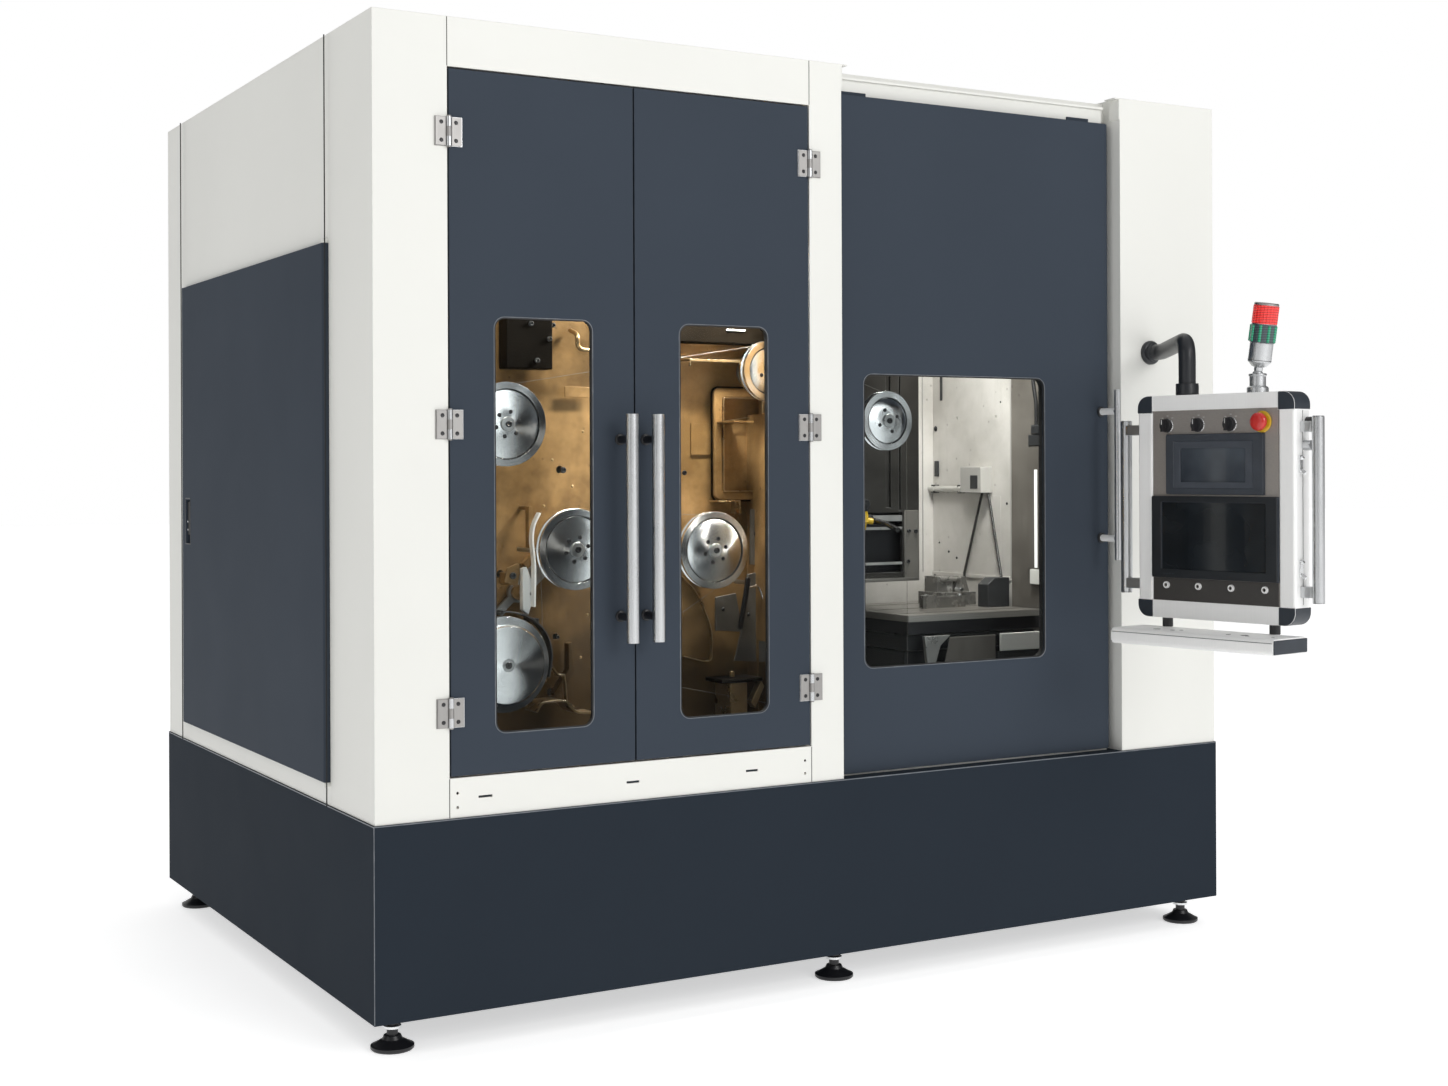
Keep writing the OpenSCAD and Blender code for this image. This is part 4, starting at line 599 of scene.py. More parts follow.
class Shape:
    """A mesh built up from simple solids, in millimetres, in one drawing frame."""

    def __init__(self, place: Matrix, body: str = "enclosure") -> None:
        """Starts an empty mesh.

        Args:
            place: the drawing frame's place in the row frame, scale included.
            body: the CAD body that it moves with, or "" for none.
        """
        self.place, self.body = place, body
        self.bm = bmesh.new()

    def _bridge(self, rings: Sequence[list]) -> "Shape":
        """Joins each ring of points to the next one with faces.

        Args:
            rings: rings of the mesh's points, where a ring may be a single point.

        Returns:
            The shape.
        """
        for first, second in zip(rings, rings[1:]):
            count = max(len(first), len(second))
            for k in range(count):
                ahead = (k + 1) % count
                corners = [first[k % len(first)], first[ahead % len(first)],
                           second[ahead % len(second)], second[k % len(second)]]
                unique = list(dict.fromkeys(corners))
                if len(unique) > 2:
                    self.bm.faces.new(unique)
        return self

    def _close(self, rings: Sequence[list]) -> "Shape":
        """Closes the first and the last ring with a face each.

        Args:
            rings: rings of the mesh's points.

        Returns:
            The shape.
        """
        for ring in (rings[0][::-1], rings[-1]):
            if len(ring) > 2:
                self.bm.faces.new(ring)
        return self

    def _rings(self, base: Point, axis: Point, profile: Sequence[Flat], sides: int) -> list[list]:
        """Sets rings of points round an axis.

        Args:
            base: the point that heights are measured from.
            axis: the axis.
            profile: radius and height of each ring.
            sides: how many points go round.

        Returns:
            The rings, each of one point where its radius is 0.
        """
        turn = Vector(UP).rotation_difference(Vector(axis).normalized()).to_matrix()
        angles = [math.tau * k / sides for k in range(sides)]
        return [
            [
                self.bm.verts.new(Vector(base) + turn @ Vector((r * math.cos(a), r * math.sin(a), h)))
                for a in (angles if r > 1e-5 else angles[:1])
            ]
            for r, h in profile
        ]

    def block(self, low: Point, high: Point) -> "Shape":
        """Adds a box.

        Args:
            low: its lowest corner.
            high: its highest corner.

        Returns:
            The shape.
        """
        low, high = Vector(low), Vector(high)
        grow = Matrix.Diagonal((*(high - low), 1.0))
        bmesh.ops.create_cube(self.bm, size=1.0, matrix=Matrix.Translation((low + high) / 2) @ grow)
        return self

    def lathe(self, base: Point, axis: Point, profile: Sequence[Flat], sides: int = 48) -> "Shape":
        """Adds a turned solid.

        Args:
            base: the point that heights are measured from.
            axis: its axis.
            profile: radius and height of each step, from the base up.
            sides: how many faces go round.

        Returns:
            The shape.
        """
        rings = self._rings(base, axis, profile, sides)
        return self._bridge(rings)._close(rings)

    def washer(self, base: Point, axis: Point, profile: Sequence[Flat], sides: int = 48) -> "Shape":
        """Adds a turned ring, like lathe, whose profile closes on itself and stays clear of the axis."""
        rings = self._rings(base, axis, profile, sides)
        return self._bridge([*rings, rings[0]])

    def rod(self, start: Point, end: Point, radius: float, sides: int = 24) -> "Shape":
        """Adds a round bar with small chamfers.

        Args:
            start: the middle of its first end.
            end: the middle of its other end.
            radius: its radius.
            sides: how many faces go round.

        Returns:
            The shape.
        """
        start, end = Vector(start), Vector(end)
        length, edge = (end - start).length, min(radius * 0.12, 1.5)
        profile = [(radius - edge, 0.0), (radius, edge), (radius, length - edge), (radius - edge, length)]
        return self.lathe(start, end - start, profile, sides)

    def tube(self, path: Sequence[Point], radius: float, sides: int = 20) -> "Shape":
        """Sweeps a round section along a path.

        Args:
            path: the centre line's points.
            radius: the section's radius.
            sides: how many faces go round.

        Returns:
            The shape.
        """
        points = [Vector(p) for p in path]
        side = Vector((0.31, 0.17, 0.94))
        turns = [math.tau * k / sides for k in range(sides)]
        rings = []
        for i, point in enumerate(points):
            ahead = (points[min(i + 1, len(points) - 1)] - points[max(i - 1, 0)]).normalized()
            side = (side - ahead * side.dot(ahead)).normalized()
            up = ahead.cross(side)
            offsets = [(side * math.cos(t) + up * math.sin(t)) * radius for t in turns]
            rings.append([self.bm.verts.new(point + offset) for offset in offsets])
        return self._bridge(rings)._close(rings)

    def frame(self, outer: Sequence[Flat], inner: Sequence[Flat], front: float, back: float) -> "Shape":
        """Adds a closed frame between two upright outlines of equal count.

        Args:
            outer: outer points, as X and Z.
            inner: inner points, as X and Z.
            front: Y of its front.
            back: Y of its back.

        Returns:
            The shape.
        """
        sections = ((outer, front), (inner, front), (inner, back), (outer, back))
        loops = [[self.bm.verts.new((x, y, z)) for x, z in points] for points, y in sections]
        return self._bridge([*loops, loops[0]])

    def plate(self, outline: Sequence[Flat], front: float, back: float) -> "Shape":
        """Adds an upright plate with an outline in X and Z, between two values of Y."""
        faces = [[self.bm.verts.new((x, y, z)) for x, z in outline] for y in (front, back)]
        return self._bridge(faces)._close(faces)

    def ribbon(self, path: Sequence[Flat], thick: float, front: float, back: float) -> "Shape":
        """Adds a bent sheet that stands on edge.

        Args:
            path: its middle line, as X and Z.
            thick: the sheet's thickness.
            front: Y of its front edge.
            back: Y of its back edge.

        Returns:
            The shape.
        """
        points = [Vector(p) for p in path]
        left, right = [], []
        for i, point in enumerate(points):
            ahead = (points[min(i + 1, len(points) - 1)] - points[max(i - 1, 0)]).normalized()
            across = Vector((-ahead.y, ahead.x)) * thick / 2
            left.append(tuple(point + across))
            right.append(tuple(point - across))
        return self.plate([*left, *right[::-1]], front, back)

    def screw(self, seat: Point, out: Point, radius: float, height: float) -> "Shape":
        """Adds a cap screw's head with its hexagon socket.

        Args:
            seat: where it seats.
            out: the direction it faces.
            radius: the head's radius.
            height: the head's height.

        Returns:
            The shape.
        """
        edge = height * 0.25
        outer = [(radius, 0.0), (radius, height - edge), (radius - edge, height)]
        socket = [(radius * 0.56, height), (radius * 0.50, height * 0.45), (0.0, height * 0.40)]
        return self.lathe(seat, out, [*outer, *socket], 24)

    def dome(self, seat: Point, out: Point, radius: float, height: float, sides: int = 24) -> "Shape":
        """Adds a round-headed knob or screw, facing out from its seat."""
        steps = [(math.cos(k * math.pi / 14), math.sin(k * math.pi / 14)) for k in range(7)]
        return self.lathe(seat, out, [*((radius * c, height * s) for c, s in steps), (0.0, height)], sides)

    def make(self, name: str, material: Material, bevel: float = 0.0) -> bpy.types.Object:
        """Turns the shape into an object that rides on its body.

        Args:
            name: the piece's name.
            material: its finish.
            bevel: radius of its edges in millimetres, or none.

        Returns:
            The object.
        """
        body = self.body
        self.bm.transform(self.place)
        bmesh.ops.recalc_face_normals(self.bm, faces=self.bm.faces)
        mesh = bpy.data.meshes.new(name)
        self.bm.to_mesh(mesh)
        self.bm.free()
        obj = place_in_scene(name, mesh)
        paint(obj, material)
        mesh.shade_smooth()
        mesh.set_sharp_from_angle(angle=SHARP_EDGE)
        if bevel > 0:
            edge = obj.modifiers.new("edges", "BEVEL")
            edge.width, edge.segments, edge.limit_method = bevel * MM, 2, "ANGLE"
            edge.angle_limit = BEVELLED_EDGE
        if body:
            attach(obj, body)
        log.info("%s on %s", name, body or "two bodies")
        return obj


def rounded(low: Flat, high: Flat, radius: float, steps: int = 6) -> list[Flat]:
    """Points of a rectangle with round corners.

    Args:
        low: its lower left corner.
        high: its upper right corner.
        radius: the corners' radius.
        steps: faces to a corner.

    Returns:
        Points in order round the outline.
    """
    (x0, z0), (x1, z1), r = low, high, radius
    centres = ((x1 - r, z1 - r), (x0 + r, z1 - r), (x0 + r, z0 + r), (x1 - r, z0 + r))
    return [
        (x + r * math.cos(turn), z + r * math.sin(turn))
        for quarter, (x, z) in enumerate(centres)
        for turn in (math.pi / 2 * (quarter + k / steps) for k in range(steps + 1))
    ]


def bend(points: Sequence[Point], radius: float, steps: int = 8) -> list[Vector]:
    """Rounds the corners of a route.

    Args:
        points: the route's corners, flat or in space.
        radius: how far from a corner its bend starts.
        steps: points to a bend.

    Returns:
        The rounded route.
    """
    corners = [Vector(p) for p in points]
    route = [corners[0]]
    for before, corner, after in zip(corners, corners[1:], corners[2:]):
        reach = min(radius, (before - corner).length * 0.49, (after - corner).length * 0.49)
        start = corner + (before - corner).normalized() * reach
        end = corner + (after - corner).normalized() * reach
        for t in (k / steps for k in range(steps + 1)):
            route.append(start * (1 - t) ** 2 + corner * 2 * t * (1 - t) + end * t * t)
    return [*route, corners[-1]]


def around(radius: float, count: int, start: float = 0.0) -> list[Flat]:
    """Points set evenly round a circle, the first one turned on by a share of the step."""
    turns = [math.tau * (k + start) / count for k in range(count)]
    return [(radius * math.cos(t), radius * math.sin(t)) for t in turns]


# ---------------------------------------------------------------- sub-assemblies


@dataclass
class SubAssembly:
    """A part of the machine: it dresses its CAD nodes and builds the pieces that they carry."""

    nodes: dict[str, bpy.types.Object]
    finish: Finishes

    def __post_init__(self) -> None:
        """Finds the machine's drawing frame from its plinth."""
        self.machine = Matrix.Translation(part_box("plinth")[0]) @ Matrix.Scale(MM, 4)

    def coat(self, material: Material, *names: str) -> None:
        """Gives CAD nodes a finish."""
        for name in names:
            paint(self.nodes[name], material)

    def span(self, name: str) -> tuple[Vector, Vector]:
        """Finds a CAD node's lowest and highest corner, in the machine's millimetres."""
        low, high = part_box(name)
        return self.machine.inverted() @ Vector(low), self.machine.inverted() @ Vector(high)

    def shape(self, body: str = "enclosure") -> Shape:
        """Starts a shape in the machine's drawing frame."""
        return Shape(self.machine, body)

    def blocks(self, *pieces: tuple) -> None:
        """Makes pieces of plain boxes on the enclosure.

        Args:
            pieces: a name, a finish and an edge radius for each, and then its boxes' corners.
        """
        for name, material, bevel, *boxes in pieces:
            shape = self.shape()
            for low, high in boxes:
                shape.block(low, high)
            shape.make(name, material, bevel)

    def build(self) -> None:
        """Builds and dresses everything in this sub-assembly."""
        raise NotImplementedError


@dataclass
class Cabinet(SubAssembly):
    """Plinth, posts, covers, roof and feet."""

    seam: float = 1.6
    shadow: float = 0.4
    highlight_proud: float = 0.6
    highlight_band: float = 3.0
    stud_inset: float = 46.0
    collar_drop: float = 29.0
    collar: tuple[Flat, ...] = ((14.0, 0.0), (19.0, 1.5), (19.0, 7.0), (14.0, 8.5))

    def build(self) -> None:
        """Dresses the enclosure."""
        f = self.finish
        self.coat(f.plinth, "plinth")
        self.coat(f.white, "left_front_post", "mid_post", "lintel", "sill_strip", "right_column",
                  "left_side_panel", "right_side_panel", "rear_covers", "roof_panels", "door_track")
        self.coat(f.black, "levelling_feet")
        self.side_seams()
        self.front_seams()
        self.plinth_line()
        self.foot_collars()

    def side_seams(self) -> None:
        """Draws the shadow lines between the left side's sheets."""
        post, (low, high), half = self.span("left_front_post"), self.span("left_side_panel"), self.seam / 2
        lines = [((low.x - self.shadow, y - half, low.z + 1), (low.x + 2, y + half, high.z - 1))
                 for y in (post[1].y, high.y)]
        self.blocks(("side_sheet_seams", self.finish.rubber, 0, *lines))

    def front_seams(self) -> None:
        """Draws the shadow lines where the lintel and the sill meet the posts."""
        half = self.seam / 2
        lines = [((x - half, low.y - self.shadow, low.z + 1), (x + half, low.y + 1, high.z - 1))
                 for low, high in (self.span("lintel"), self.span("sill_strip")) for x in (low.x, high.x)]
        self.blocks(("front_sheet_seams", self.finish.rubber, 0, *lines))

    def plinth_line(self) -> None:
        """Paints a bright edge highlight along the plinth's top front and left edges and down its front left
        corner.
        """
        low, high = self.span("plinth")
        x, y, base, top = low.x - self.highlight_proud, low.y - self.highlight_proud, high.z - self.highlight_band, high.z - self.highlight_proud
        self.blocks(("plinth_edge_highlight", self.finish.slate_painted_highlight, 0,
                     ((x, y, base), (high.x, low.y, top)), ((x, low.y, base), (low.x, high.y, top)),
                     ((x, y, low.z + 1), (low.x + 2 * self.highlight_proud, low.y, base))))

    def foot_collars(self) -> None:
        """Turns the bright collar of each levelling foot."""
        foot, (low, high) = self.span("levelling_feet")[0], self.span("plinth")
        x0, y0 = foot.x + self.stud_inset, foot.y + self.stud_inset
        shape = self.shape()
        for x in (x0, (low.x + high.x) / 2, high.x - x0):
            for y in (y0, high.y - y0):
                shape.lathe((x, y, low.z - self.collar_drop), UP, self.collar, 40)
        shape.make("stud_collars", self.finish.chrome)


@dataclass
class Doors(SubAssembly):
    """The double doors, the bay's sliding door and the side door, with windows, hinges and pull bars."""

    rebate: float = 13.5
    corner: float = 24.0
    skin: float = 2.0
    glass: float = 5.0
    keeper: float = 2.0
    highlight_width: float = 1.6
    pin_gap: float = 2.0
    leaf_near: float = 6.2
    leaf_far: float = 29.4
    leaf_half: float = 30.0
    leaf_lift: float = 4.0
    face: float = 0.7
    hinge_end: float = 134.0
    hinge_middle: float = 0.497
    screw_out: float = 16.5
    screw_step: float = 19.0
    hinge_screw: tuple[Flat, ...] = ((4.6, 0), (3.8, 1.0), (1.7, 0.6))
    standoff: float = 8.6
    standoff_inset: float = 55.0
    bar_base: float = 266.0
    bar_length: float = 500.0
    bar_wide: float = 28.0
    bay_bar_wide: float = 16.0
    bay_bar_inset: float = 11.0
    cup: float = 120.0
    cup_lip: float = 2.6

    def build(self) -> None:
        """Dresses the doors."""
        f = self.finish
        self.coat(f.slate, "left_door", "right_door", "sliding_door", "side_door")
        self.coat(f.pane, "left_window", "right_window", "bay_window")
        self.coat(f.stainless_z, "left_door_fittings", "right_door_fittings", "bay_handle")
        self.coat(f.hinge, "fixed_hinges")
        self.coat(f.rubber, "side_latch_paddle")
        self.window_seal("left_window", "left_door_leaf", 5.0)
        self.window_seal("right_window", "right_door_leaf", 5.0)
        self.window_seal("bay_window", "bay_door", 14.0)
        self.meeting_seal()
        self.hinges()
        doors_base = self.span("left_door")[0].z + self.bar_base
        reach = (doors_base, doors_base + self.bar_length)
        low, high = self.span("bay_handle")
        w, bay = self.bar_wide, self.bay_bar_wide
        self.standoffs("left_door_fittings", "left_door", "left_door_leaf", w, -w / 2, reach, f.black)
        self.standoffs("right_door_fittings", "right_door", "right_door_leaf", w, w / 2, reach, f.black)
        self.standoffs("bay_handle", "sliding_door", "bay_door", bay, -self.bay_bar_inset, (low.z, high.z),
                       f.profile)
        self.side_lock()

    def outline(self, name: str, grow: float) -> list[Flat]:
        """Finds the outline of a window's opening.

        Args:
            name: the window's node.
            grow: how far the outline lies outside the opening.

        Returns:
            Its points, as X and Z.
        """
        low, high = self.span(name)
        inset = self.rebate - grow
        return rounded((low.x + inset, low.z + inset), (high.x - inset, high.z - inset), self.corner + grow)

    def window_seal(self, name: str, body: str, depth: float) -> None:
        """Fits a window's black seal behind the pane and a painted highlight round its edge in front.

        Args:
            name: the window's node.
            body: the door that carries it.
            depth: how deep the seal is behind the pane's keeper.
        """
        y = self.span(name)[0].y
        behind, front = y + self.glass + self.keeper + 0.2, y - self.skin
        seal = self.shape(body).frame(self.outline(name, 0.4), self.outline(name, -3.2), y - 1.6, y - 0.1)
        seal.frame(self.outline(name, 9.0), self.outline(name, -0.5), behind, behind + depth)
        seal.make(f"{name}_seal", self.finish.rubber)
        # Painted highlight: a thin bright ring round the opening on the door's face.
        edge = self.shape(body).frame(
            self.outline(name, self.highlight_width), self.outline(name, -0.1), front - 0.5, front + 0.6)
        edge.make(f"{name}_edge", self.finish.slate_painted_highlight)

    def meeting_seal(self) -> None:
        """Hangs the rubber seal in the gap between the two leaves."""
        low, high = self.span("left_door")
        seal = self.shape("left_door_leaf")
        seal.block((high.x + 0.1, low.y + 5, low.z + 2), (high.x + 2.8, low.y + 14, high.z - 2))
        seal.make("meeting_seal", self.finish.rubber)

    def hinges(self) -> None:
        """Faces the six hinges' leaves and drives two screws in each."""
        names = {"enclosure": "fixed_hinge", "left_door_leaf": "left_leaf", "right_door_leaf": "right_leaf"}
        faces = {body: self.shape(body) for body in names}
        screws = {body: self.shape(body) for body in names}
        for side, out in (("left", 1), ("right", -1)):
            low, high = self.span(f"{side}_door")
            axis = low.x - self.pin_gap if side == "left" else high.x + self.pin_gap
            seat, tall = low.y - self.leaf_lift, high.z - low.z
            for z in (low.z + self.hinge_end, low.z + tall * self.hinge_middle, high.z - self.hinge_end):
                for body, way in (("enclosure", -out), (f"{side}_door_leaf", out)):
                    x0, x1 = sorted((axis + way * self.leaf_near, axis + way * self.leaf_far))
                    faces[body].block((x0, seat - self.face, z - self.leaf_half),
                                      (x1, seat - 0.05, z + self.leaf_half))
                    for step in (-self.screw_step, self.screw_step):
                        head = (axis + way * self.screw_out, seat - self.face, z + step)
                        screws[body].lathe(head, FRONT, self.hinge_screw, 20)
        for body, name in names.items():
            screws[body].make(f"{name}_screws", self.finish.black)
            faces[body].make(f"{name}_faces", self.finish.hinge, 0.3)

    def standoffs(self, name: str, door: str, body: str, wide: float, inset: float, reach: Flat,
                  sleeves: Material) -> None:
        """Sleeves a pull bar's standoffs and gives them feet.

        Args:
            name: the fittings' node.
            door: the door's node.
            body: the door's body.
            wide: the bar's width.
            inset: how far the bar's middle lies inside the fittings, from their left, or right if below 0.
            reach: the bar's lower and upper end.
            sleeves: the sleeves' finish.
        """
        low, high = self.span(name)
        front, r = self.span(door)[0].y, self.standoff
        x = low.x + inset if inset > 0 else high.x + inset
        length = front - low.y - wide - 5 + wide * 0.1
        sleeve, foot = self.shape(body), self.shape(body)
        for z in (reach[0] + self.standoff_inset, reach[1] - self.standoff_inset):
            foot.lathe((x, front - 0.4, z), FRONT, [(r + 4, 0), (r + 4, 3.4), (r, 5)], 32)
            sleeve.lathe((x, front - 5.4, z), FRONT, [(r, 0), (r, length)], 32)
        foot.make(f"{name}_flanges", self.finish.black)
        sleeve.make(f"{name}_standoffs", sleeves)

    def side_lock(self) -> None:
        """Fits the dark lip and the two small screws of the side door's pull."""
        low, high = self.span("side_latch_paddle")
        y0, y1, z1, w = low.y - 0.5, high.y + 0.5, high.z + 8, self.cup_lip
        x0, x1, z0 = low.x - 4.6, low.x - 3.2, z1 - self.cup
        lip = self.shape("side_door_leaf").block((x0, y0 - w, z0 - w), (x1, y0, z1 + w))
        lip.block((x0, y1, z0 - w), (x1, y1 + w, z1 + w))
        lip.block((x0, y0, z1), (x1, y1, z1 + w)).block((x0, y0, z0 - w), (x1, y1, z0))
        lip.make("side_cup_lip", self.finish.black, 0.4)
        lock = self.shape("side_pull")
        for z in (low.z + 14, low.z + 36):
            lock.dome((low.x, high.y - 6, z), LEFT, 3.4, 1.6, 20)
        lock.make("side_lock_screws", self.finish.chrome)


@dataclass
class WheelChamber(SubAssembly):
    """The wheels, their plate, axles and wire, and the guards and brackets round them."""

    names: tuple[str, ...] = ("drive", "upper", "tension", "centre", "crossing", "head", "lower", "return")
    six_bolts: tuple[str, ...] = ("upper", "tension", "centre")
    lip: float = 18.5
    face_bore: float = 17.6
    face_seat: float = 28.5
    bolt_circle: float = 29.0
    bolt: float = 5.0
    plate_drop: float = 21.7
    coils: int = 12
    coil_radius: float = 7.0
    coil_pitch: float = 7.0
    spring_wire: float = 3.1
    spring_eye: float = 60.0
    spring_hold: float = 36.0
    eye_ring: tuple[Flat, ...] = ((4.6, -1.9), (7.8, -1.9), (7.8, 1.9), (4.6, 1.9))

    def build(self) -> None:
        """Dresses the wheels and their plate."""
        f = self.finish
        self.coat(f.bronze, "wheel_plate", "chamber_walls", "wire_guards")
        self.coat(f.steel, "idler_axles", "tension_arm", "tension_spring")
        self.coat(f.dark, "drive_motor")
        self.coat(f.grit, "diamond_wire")
        for name in self.names:
            low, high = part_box(f"{name}_wheel")
            middle = (low + high) / 2
            finish = Turned(f"turned_{name}", (middle.x, middle.z)).build()
            self.coat(finish, f"{name}_wheel")
            if name != "drive":
                self.wheel_face(name, finish, 6 if name in self.six_bolts else 4)
        self.drive_hub()
        self.spring()
        self.face = self.span("wheel_plate")[0].y + self.plate_drop
        self.left_fittings()
        self.low_bracket()
        self.wire_lever()
        self.upper_duct()
        self.plate_window()
        self.centre_guard()
        self.grey_plates()
        self.black_lever()
        self.wire_switch()

    def spring(self) -> None:
        """Winds the arm's coil spring, with an eye at each end."""
        low, high = self.span("tension_spring")
        middle = (low + high) / 2
        turns = around(self.coil_radius, 14)
        path = []
        for k in range(self.coils * len(turns) + 1):
            dx, dy = turns[k % len(turns)]
            rise = self.coil_pitch * (k / len(turns) - self.coils / 2)
            path.append(middle + Vector((dx, dy, rise)))
        coil = self.shape("").tube(path, self.spring_wire, 10)
        for way in (-1, 1):
            up = Vector((0, 0, way))
            coil.washer(middle + up * self.spring_eye, BACK, self.eye_ring, 32)
            coil.rod(middle + up * 40, middle + up * 53.4, 1.9, 12)
        piece = coil.make("tension_coil", self.finish.steel)
        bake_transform(piece)
        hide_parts("tension_spring")

    def wheel_face(self, name: str, finish: Material, bolts: int) -> None:
        """Turns a wheel's dished front and sets its dark bolts.

        Args:
            name: the wheel.
            finish: its turned metal.
            bolts: how many bolts go round the hub.
        """
        low, high = self.span(f"{name}_wheel")
        x, z, y, body = (low.x + high.x) / 2, (low.z + high.z) / 2, low.y, f"{name}_wheel_body"
        edge = (high.x - low.x) / 2 - self.lip
        circle = min(self.bolt_circle, edge - 12)
        bore, seat, rim = self.face_bore, self.face_seat, circle + 8
        dish = [(bore, y - 0.8), (rim, y - 0.8), (edge, y + 4.6), (edge, y + 6.6), (rim, y + 0.9),
                (seat, y + 0.9), (seat, y - 0.2), (bore, y - 0.2)]
        self.shape(body).washer((x, 0, z), BACK, dish, 72).make(f"{name}_wheel_face", finish)
        dark = self.shape(body)
        for dx, dz in around(circle, bolts, 0.25):
            head = [(self.bolt, 0), (self.bolt, 0.5), (self.bolt - 1.4, 0.7), (0, 0.2)]
            dark.lathe((x + dx, y - 0.7, z + dz), FRONT, head, 20)
        dark.make(f"{name}_wheel_bolts", self.finish.black)
        cap = self.shape("arm_of_tension" if name == "tension" else "enclosure")
        cap.screw((x, y - 6.0, z), FRONT, 7.5, 4.0).make(f"{name}_axle_screw", self.finish.black)

    def drive_hub(self) -> None:
        """Sets the drive wheel's hub screw and its washer."""
        low, high = self.span("drive_wheel")
        x, z = (low.x + high.x) / 2, (low.z + high.z) / 2
        ring = self.shape("drive_wheel_body")
        ring.washer((x, low.y + 5.4, z), FRONT, [(9.2, 0), (14.6, 0), (14.6, 1.4), (9.2, 1.4)], 40)
        ring.make("drive_hub_washer", self.finish.steel)
        screw = self.shape("drive_wheel_body").screw((x, low.y + 1.0, z), FRONT, 8.2, 3.0)
        screw.make("drive_hub_screw", self.finish.dark)

    def left_fittings(self) -> None:
        """Builds the box, painted near black as shade, the hook and the plate's small parts seen through the
        left window.
        """
        f, face = self.finish, self.face
        # Painted shade: the box is near black for the shadow it sits in.
        self.blocks(("upper_shade_box", f.near_black, 3, ((424, face - 46, 1378), (541, face, 1560))))
        bright = self.shape()
        for x, depth, z in ((485, 46, 1483), (532, 46, 1449), (562, 0, 1485), (500, 46, 1398)):
            bright.screw((x, face - depth, z), FRONT, 6, 7)
        bright.make("upper_screws", f.dark)
        near = face - 44
        hook = bend([(608, face, 1474), (606, near, 1462), (606, near, 1427), (646, near, 1425)], 16)
        self.shape().tube(hook, 5.5).make("wire_hook", f.gilt)
        cover = [(592, 1316), (661, 1316), (661, 1341), (592, 1341)]
        self.shape().plate(cover, face - 2.4, face).make("plate_cover", f.bronze, 0.8)
        holes, small = self.shape(), self.shape()
        # Painted shade: black screw heads stand for the dark holes in the plate.
        for x, z, r in ((587, 1144, 7.5), (430, 902, 7), (571, 751, 5), (914, 1136, 6), (843, 1290, 4)):
            holes.screw((x, face, z), FRONT, r, r * 0.7)
        holes.make("plate_hole_shades", f.black)
        for x, z in ((560, 1168), (515, 1232), (640, 1235), (538, 1060), (612, 1105), (650, 800),
                     (540, 650), (632, 700)):
            small.dome((x, face, z), FRONT, 3.4, 2.2, 14)
        small.make("plate_rivets", f.gilt)

    def low_bracket(self) -> None:
        """Builds the drive wheel's guard, and the bracket and stay beneath it."""
        f, face = self.finish, self.face
        guard = bend([(392, 824), (452, 816), (502, 776), (519, 722), (508, 668)], 40)
        self.shape().ribbon(guard, 3, face - 92, face - 60).make("drive_guard", f.dark)
        self.blocks(("guard_stay", f.dark, 1, ((484, face - 62, 792), (496, face, 802))))
        bracket = bend([(488, 586), (500, 607), (560, 609), (588, 578), (640, 574)], 14)
        self.shape().ribbon(bracket, 5, face - 66, face).make("low_bracket", f.gilt)
        fin = [(556, 612), (602, 668), (594, 740), (586, 736), (586, 676), (548, 622)]
        self.shape().plate(fin, face - 30, face - 6).make("low_gusset", f.bronze, 1)
        stay = [(536, 684), (550, 668), (565, 667), (569, 640), (571, 606), (590, 590)]
        self.shape().ribbon(stay, 3.5, face - 52, face - 40).make("low_stay", f.gilt)
        self.shape().rod((565, face - 42, 664), (565, face, 664), 4).make("low_stay_pin", f.gilt)

    def wire_lever(self) -> None:
        """Builds the curved bright lever and the bracket beside the tension wheel."""
        f, face = self.finish, self.face
        spine = bend([(487, 1046), (471, 1018), (467, 985), (474, 930), (472, 831)], 30)
        self.shape().ribbon(spine, 5, face - 92, face - 74).make("wire_lever", f.profile, 1)
        stays = self.shape().rod((472, face - 76, 960), (472, face, 960), 5)
        stays.rod((474, face - 76, 860), (474, face, 860), 5).make("lever_stays", f.steel)
        blade = [(452, 824), (466, 812), (474, 836), (474, 892), (462, 922), (452, 918)]
        self.shape().plate(blade, face - 70, face - 52).make("bracket_blade", f.profile, 1)
        ear = [(412, 888), (446, 876), (452, 922), (446, 930), (420, 920)]
        self.shape().plate(ear, face - 56, face - 50).make("bracket_ear", f.bronze, 1)
        self.blocks(("bracket_foot", f.bronze, 1, ((424, face - 50, 880), (448, face, 908))))
        self.shape().screw((433, face - 56, 902), FRONT, 8, 5).make("bracket_screw", f.dark)

    def upper_duct(self) -> None:
        """Builds the duct, its lamp and the shelf at the top of the right window."""
        f, face = self.finish, self.face
        self.blocks(
            ("upper_duct", f.near_black, 2, ((728, face - 60, 1452), (1140, face, 1640))),
            ("work_lamp", f.glow, 1, ((999, face - 64, 1482), (1052, face - 60.2, 1486))),
            ("upper_shelf", f.bronze, 0, ((902, face - 50, 1409), (1100, face, 1411))),
            ("shelf_edge", f.gilt, 0, ((902, face - 52, 1406), (1100, face - 50, 1412)),
             ((902, face - 52, 1394), (905, face - 48, 1406))),
            ("splash_flap", f.gilt, 0.6, ((984, face - 44, 1064), (1048, face - 41, 1068)),
             ((1045, face - 44, 1036), (1048, face - 2, 1068)), ((984, face - 44, 1064), (987, face, 1068))),
        )

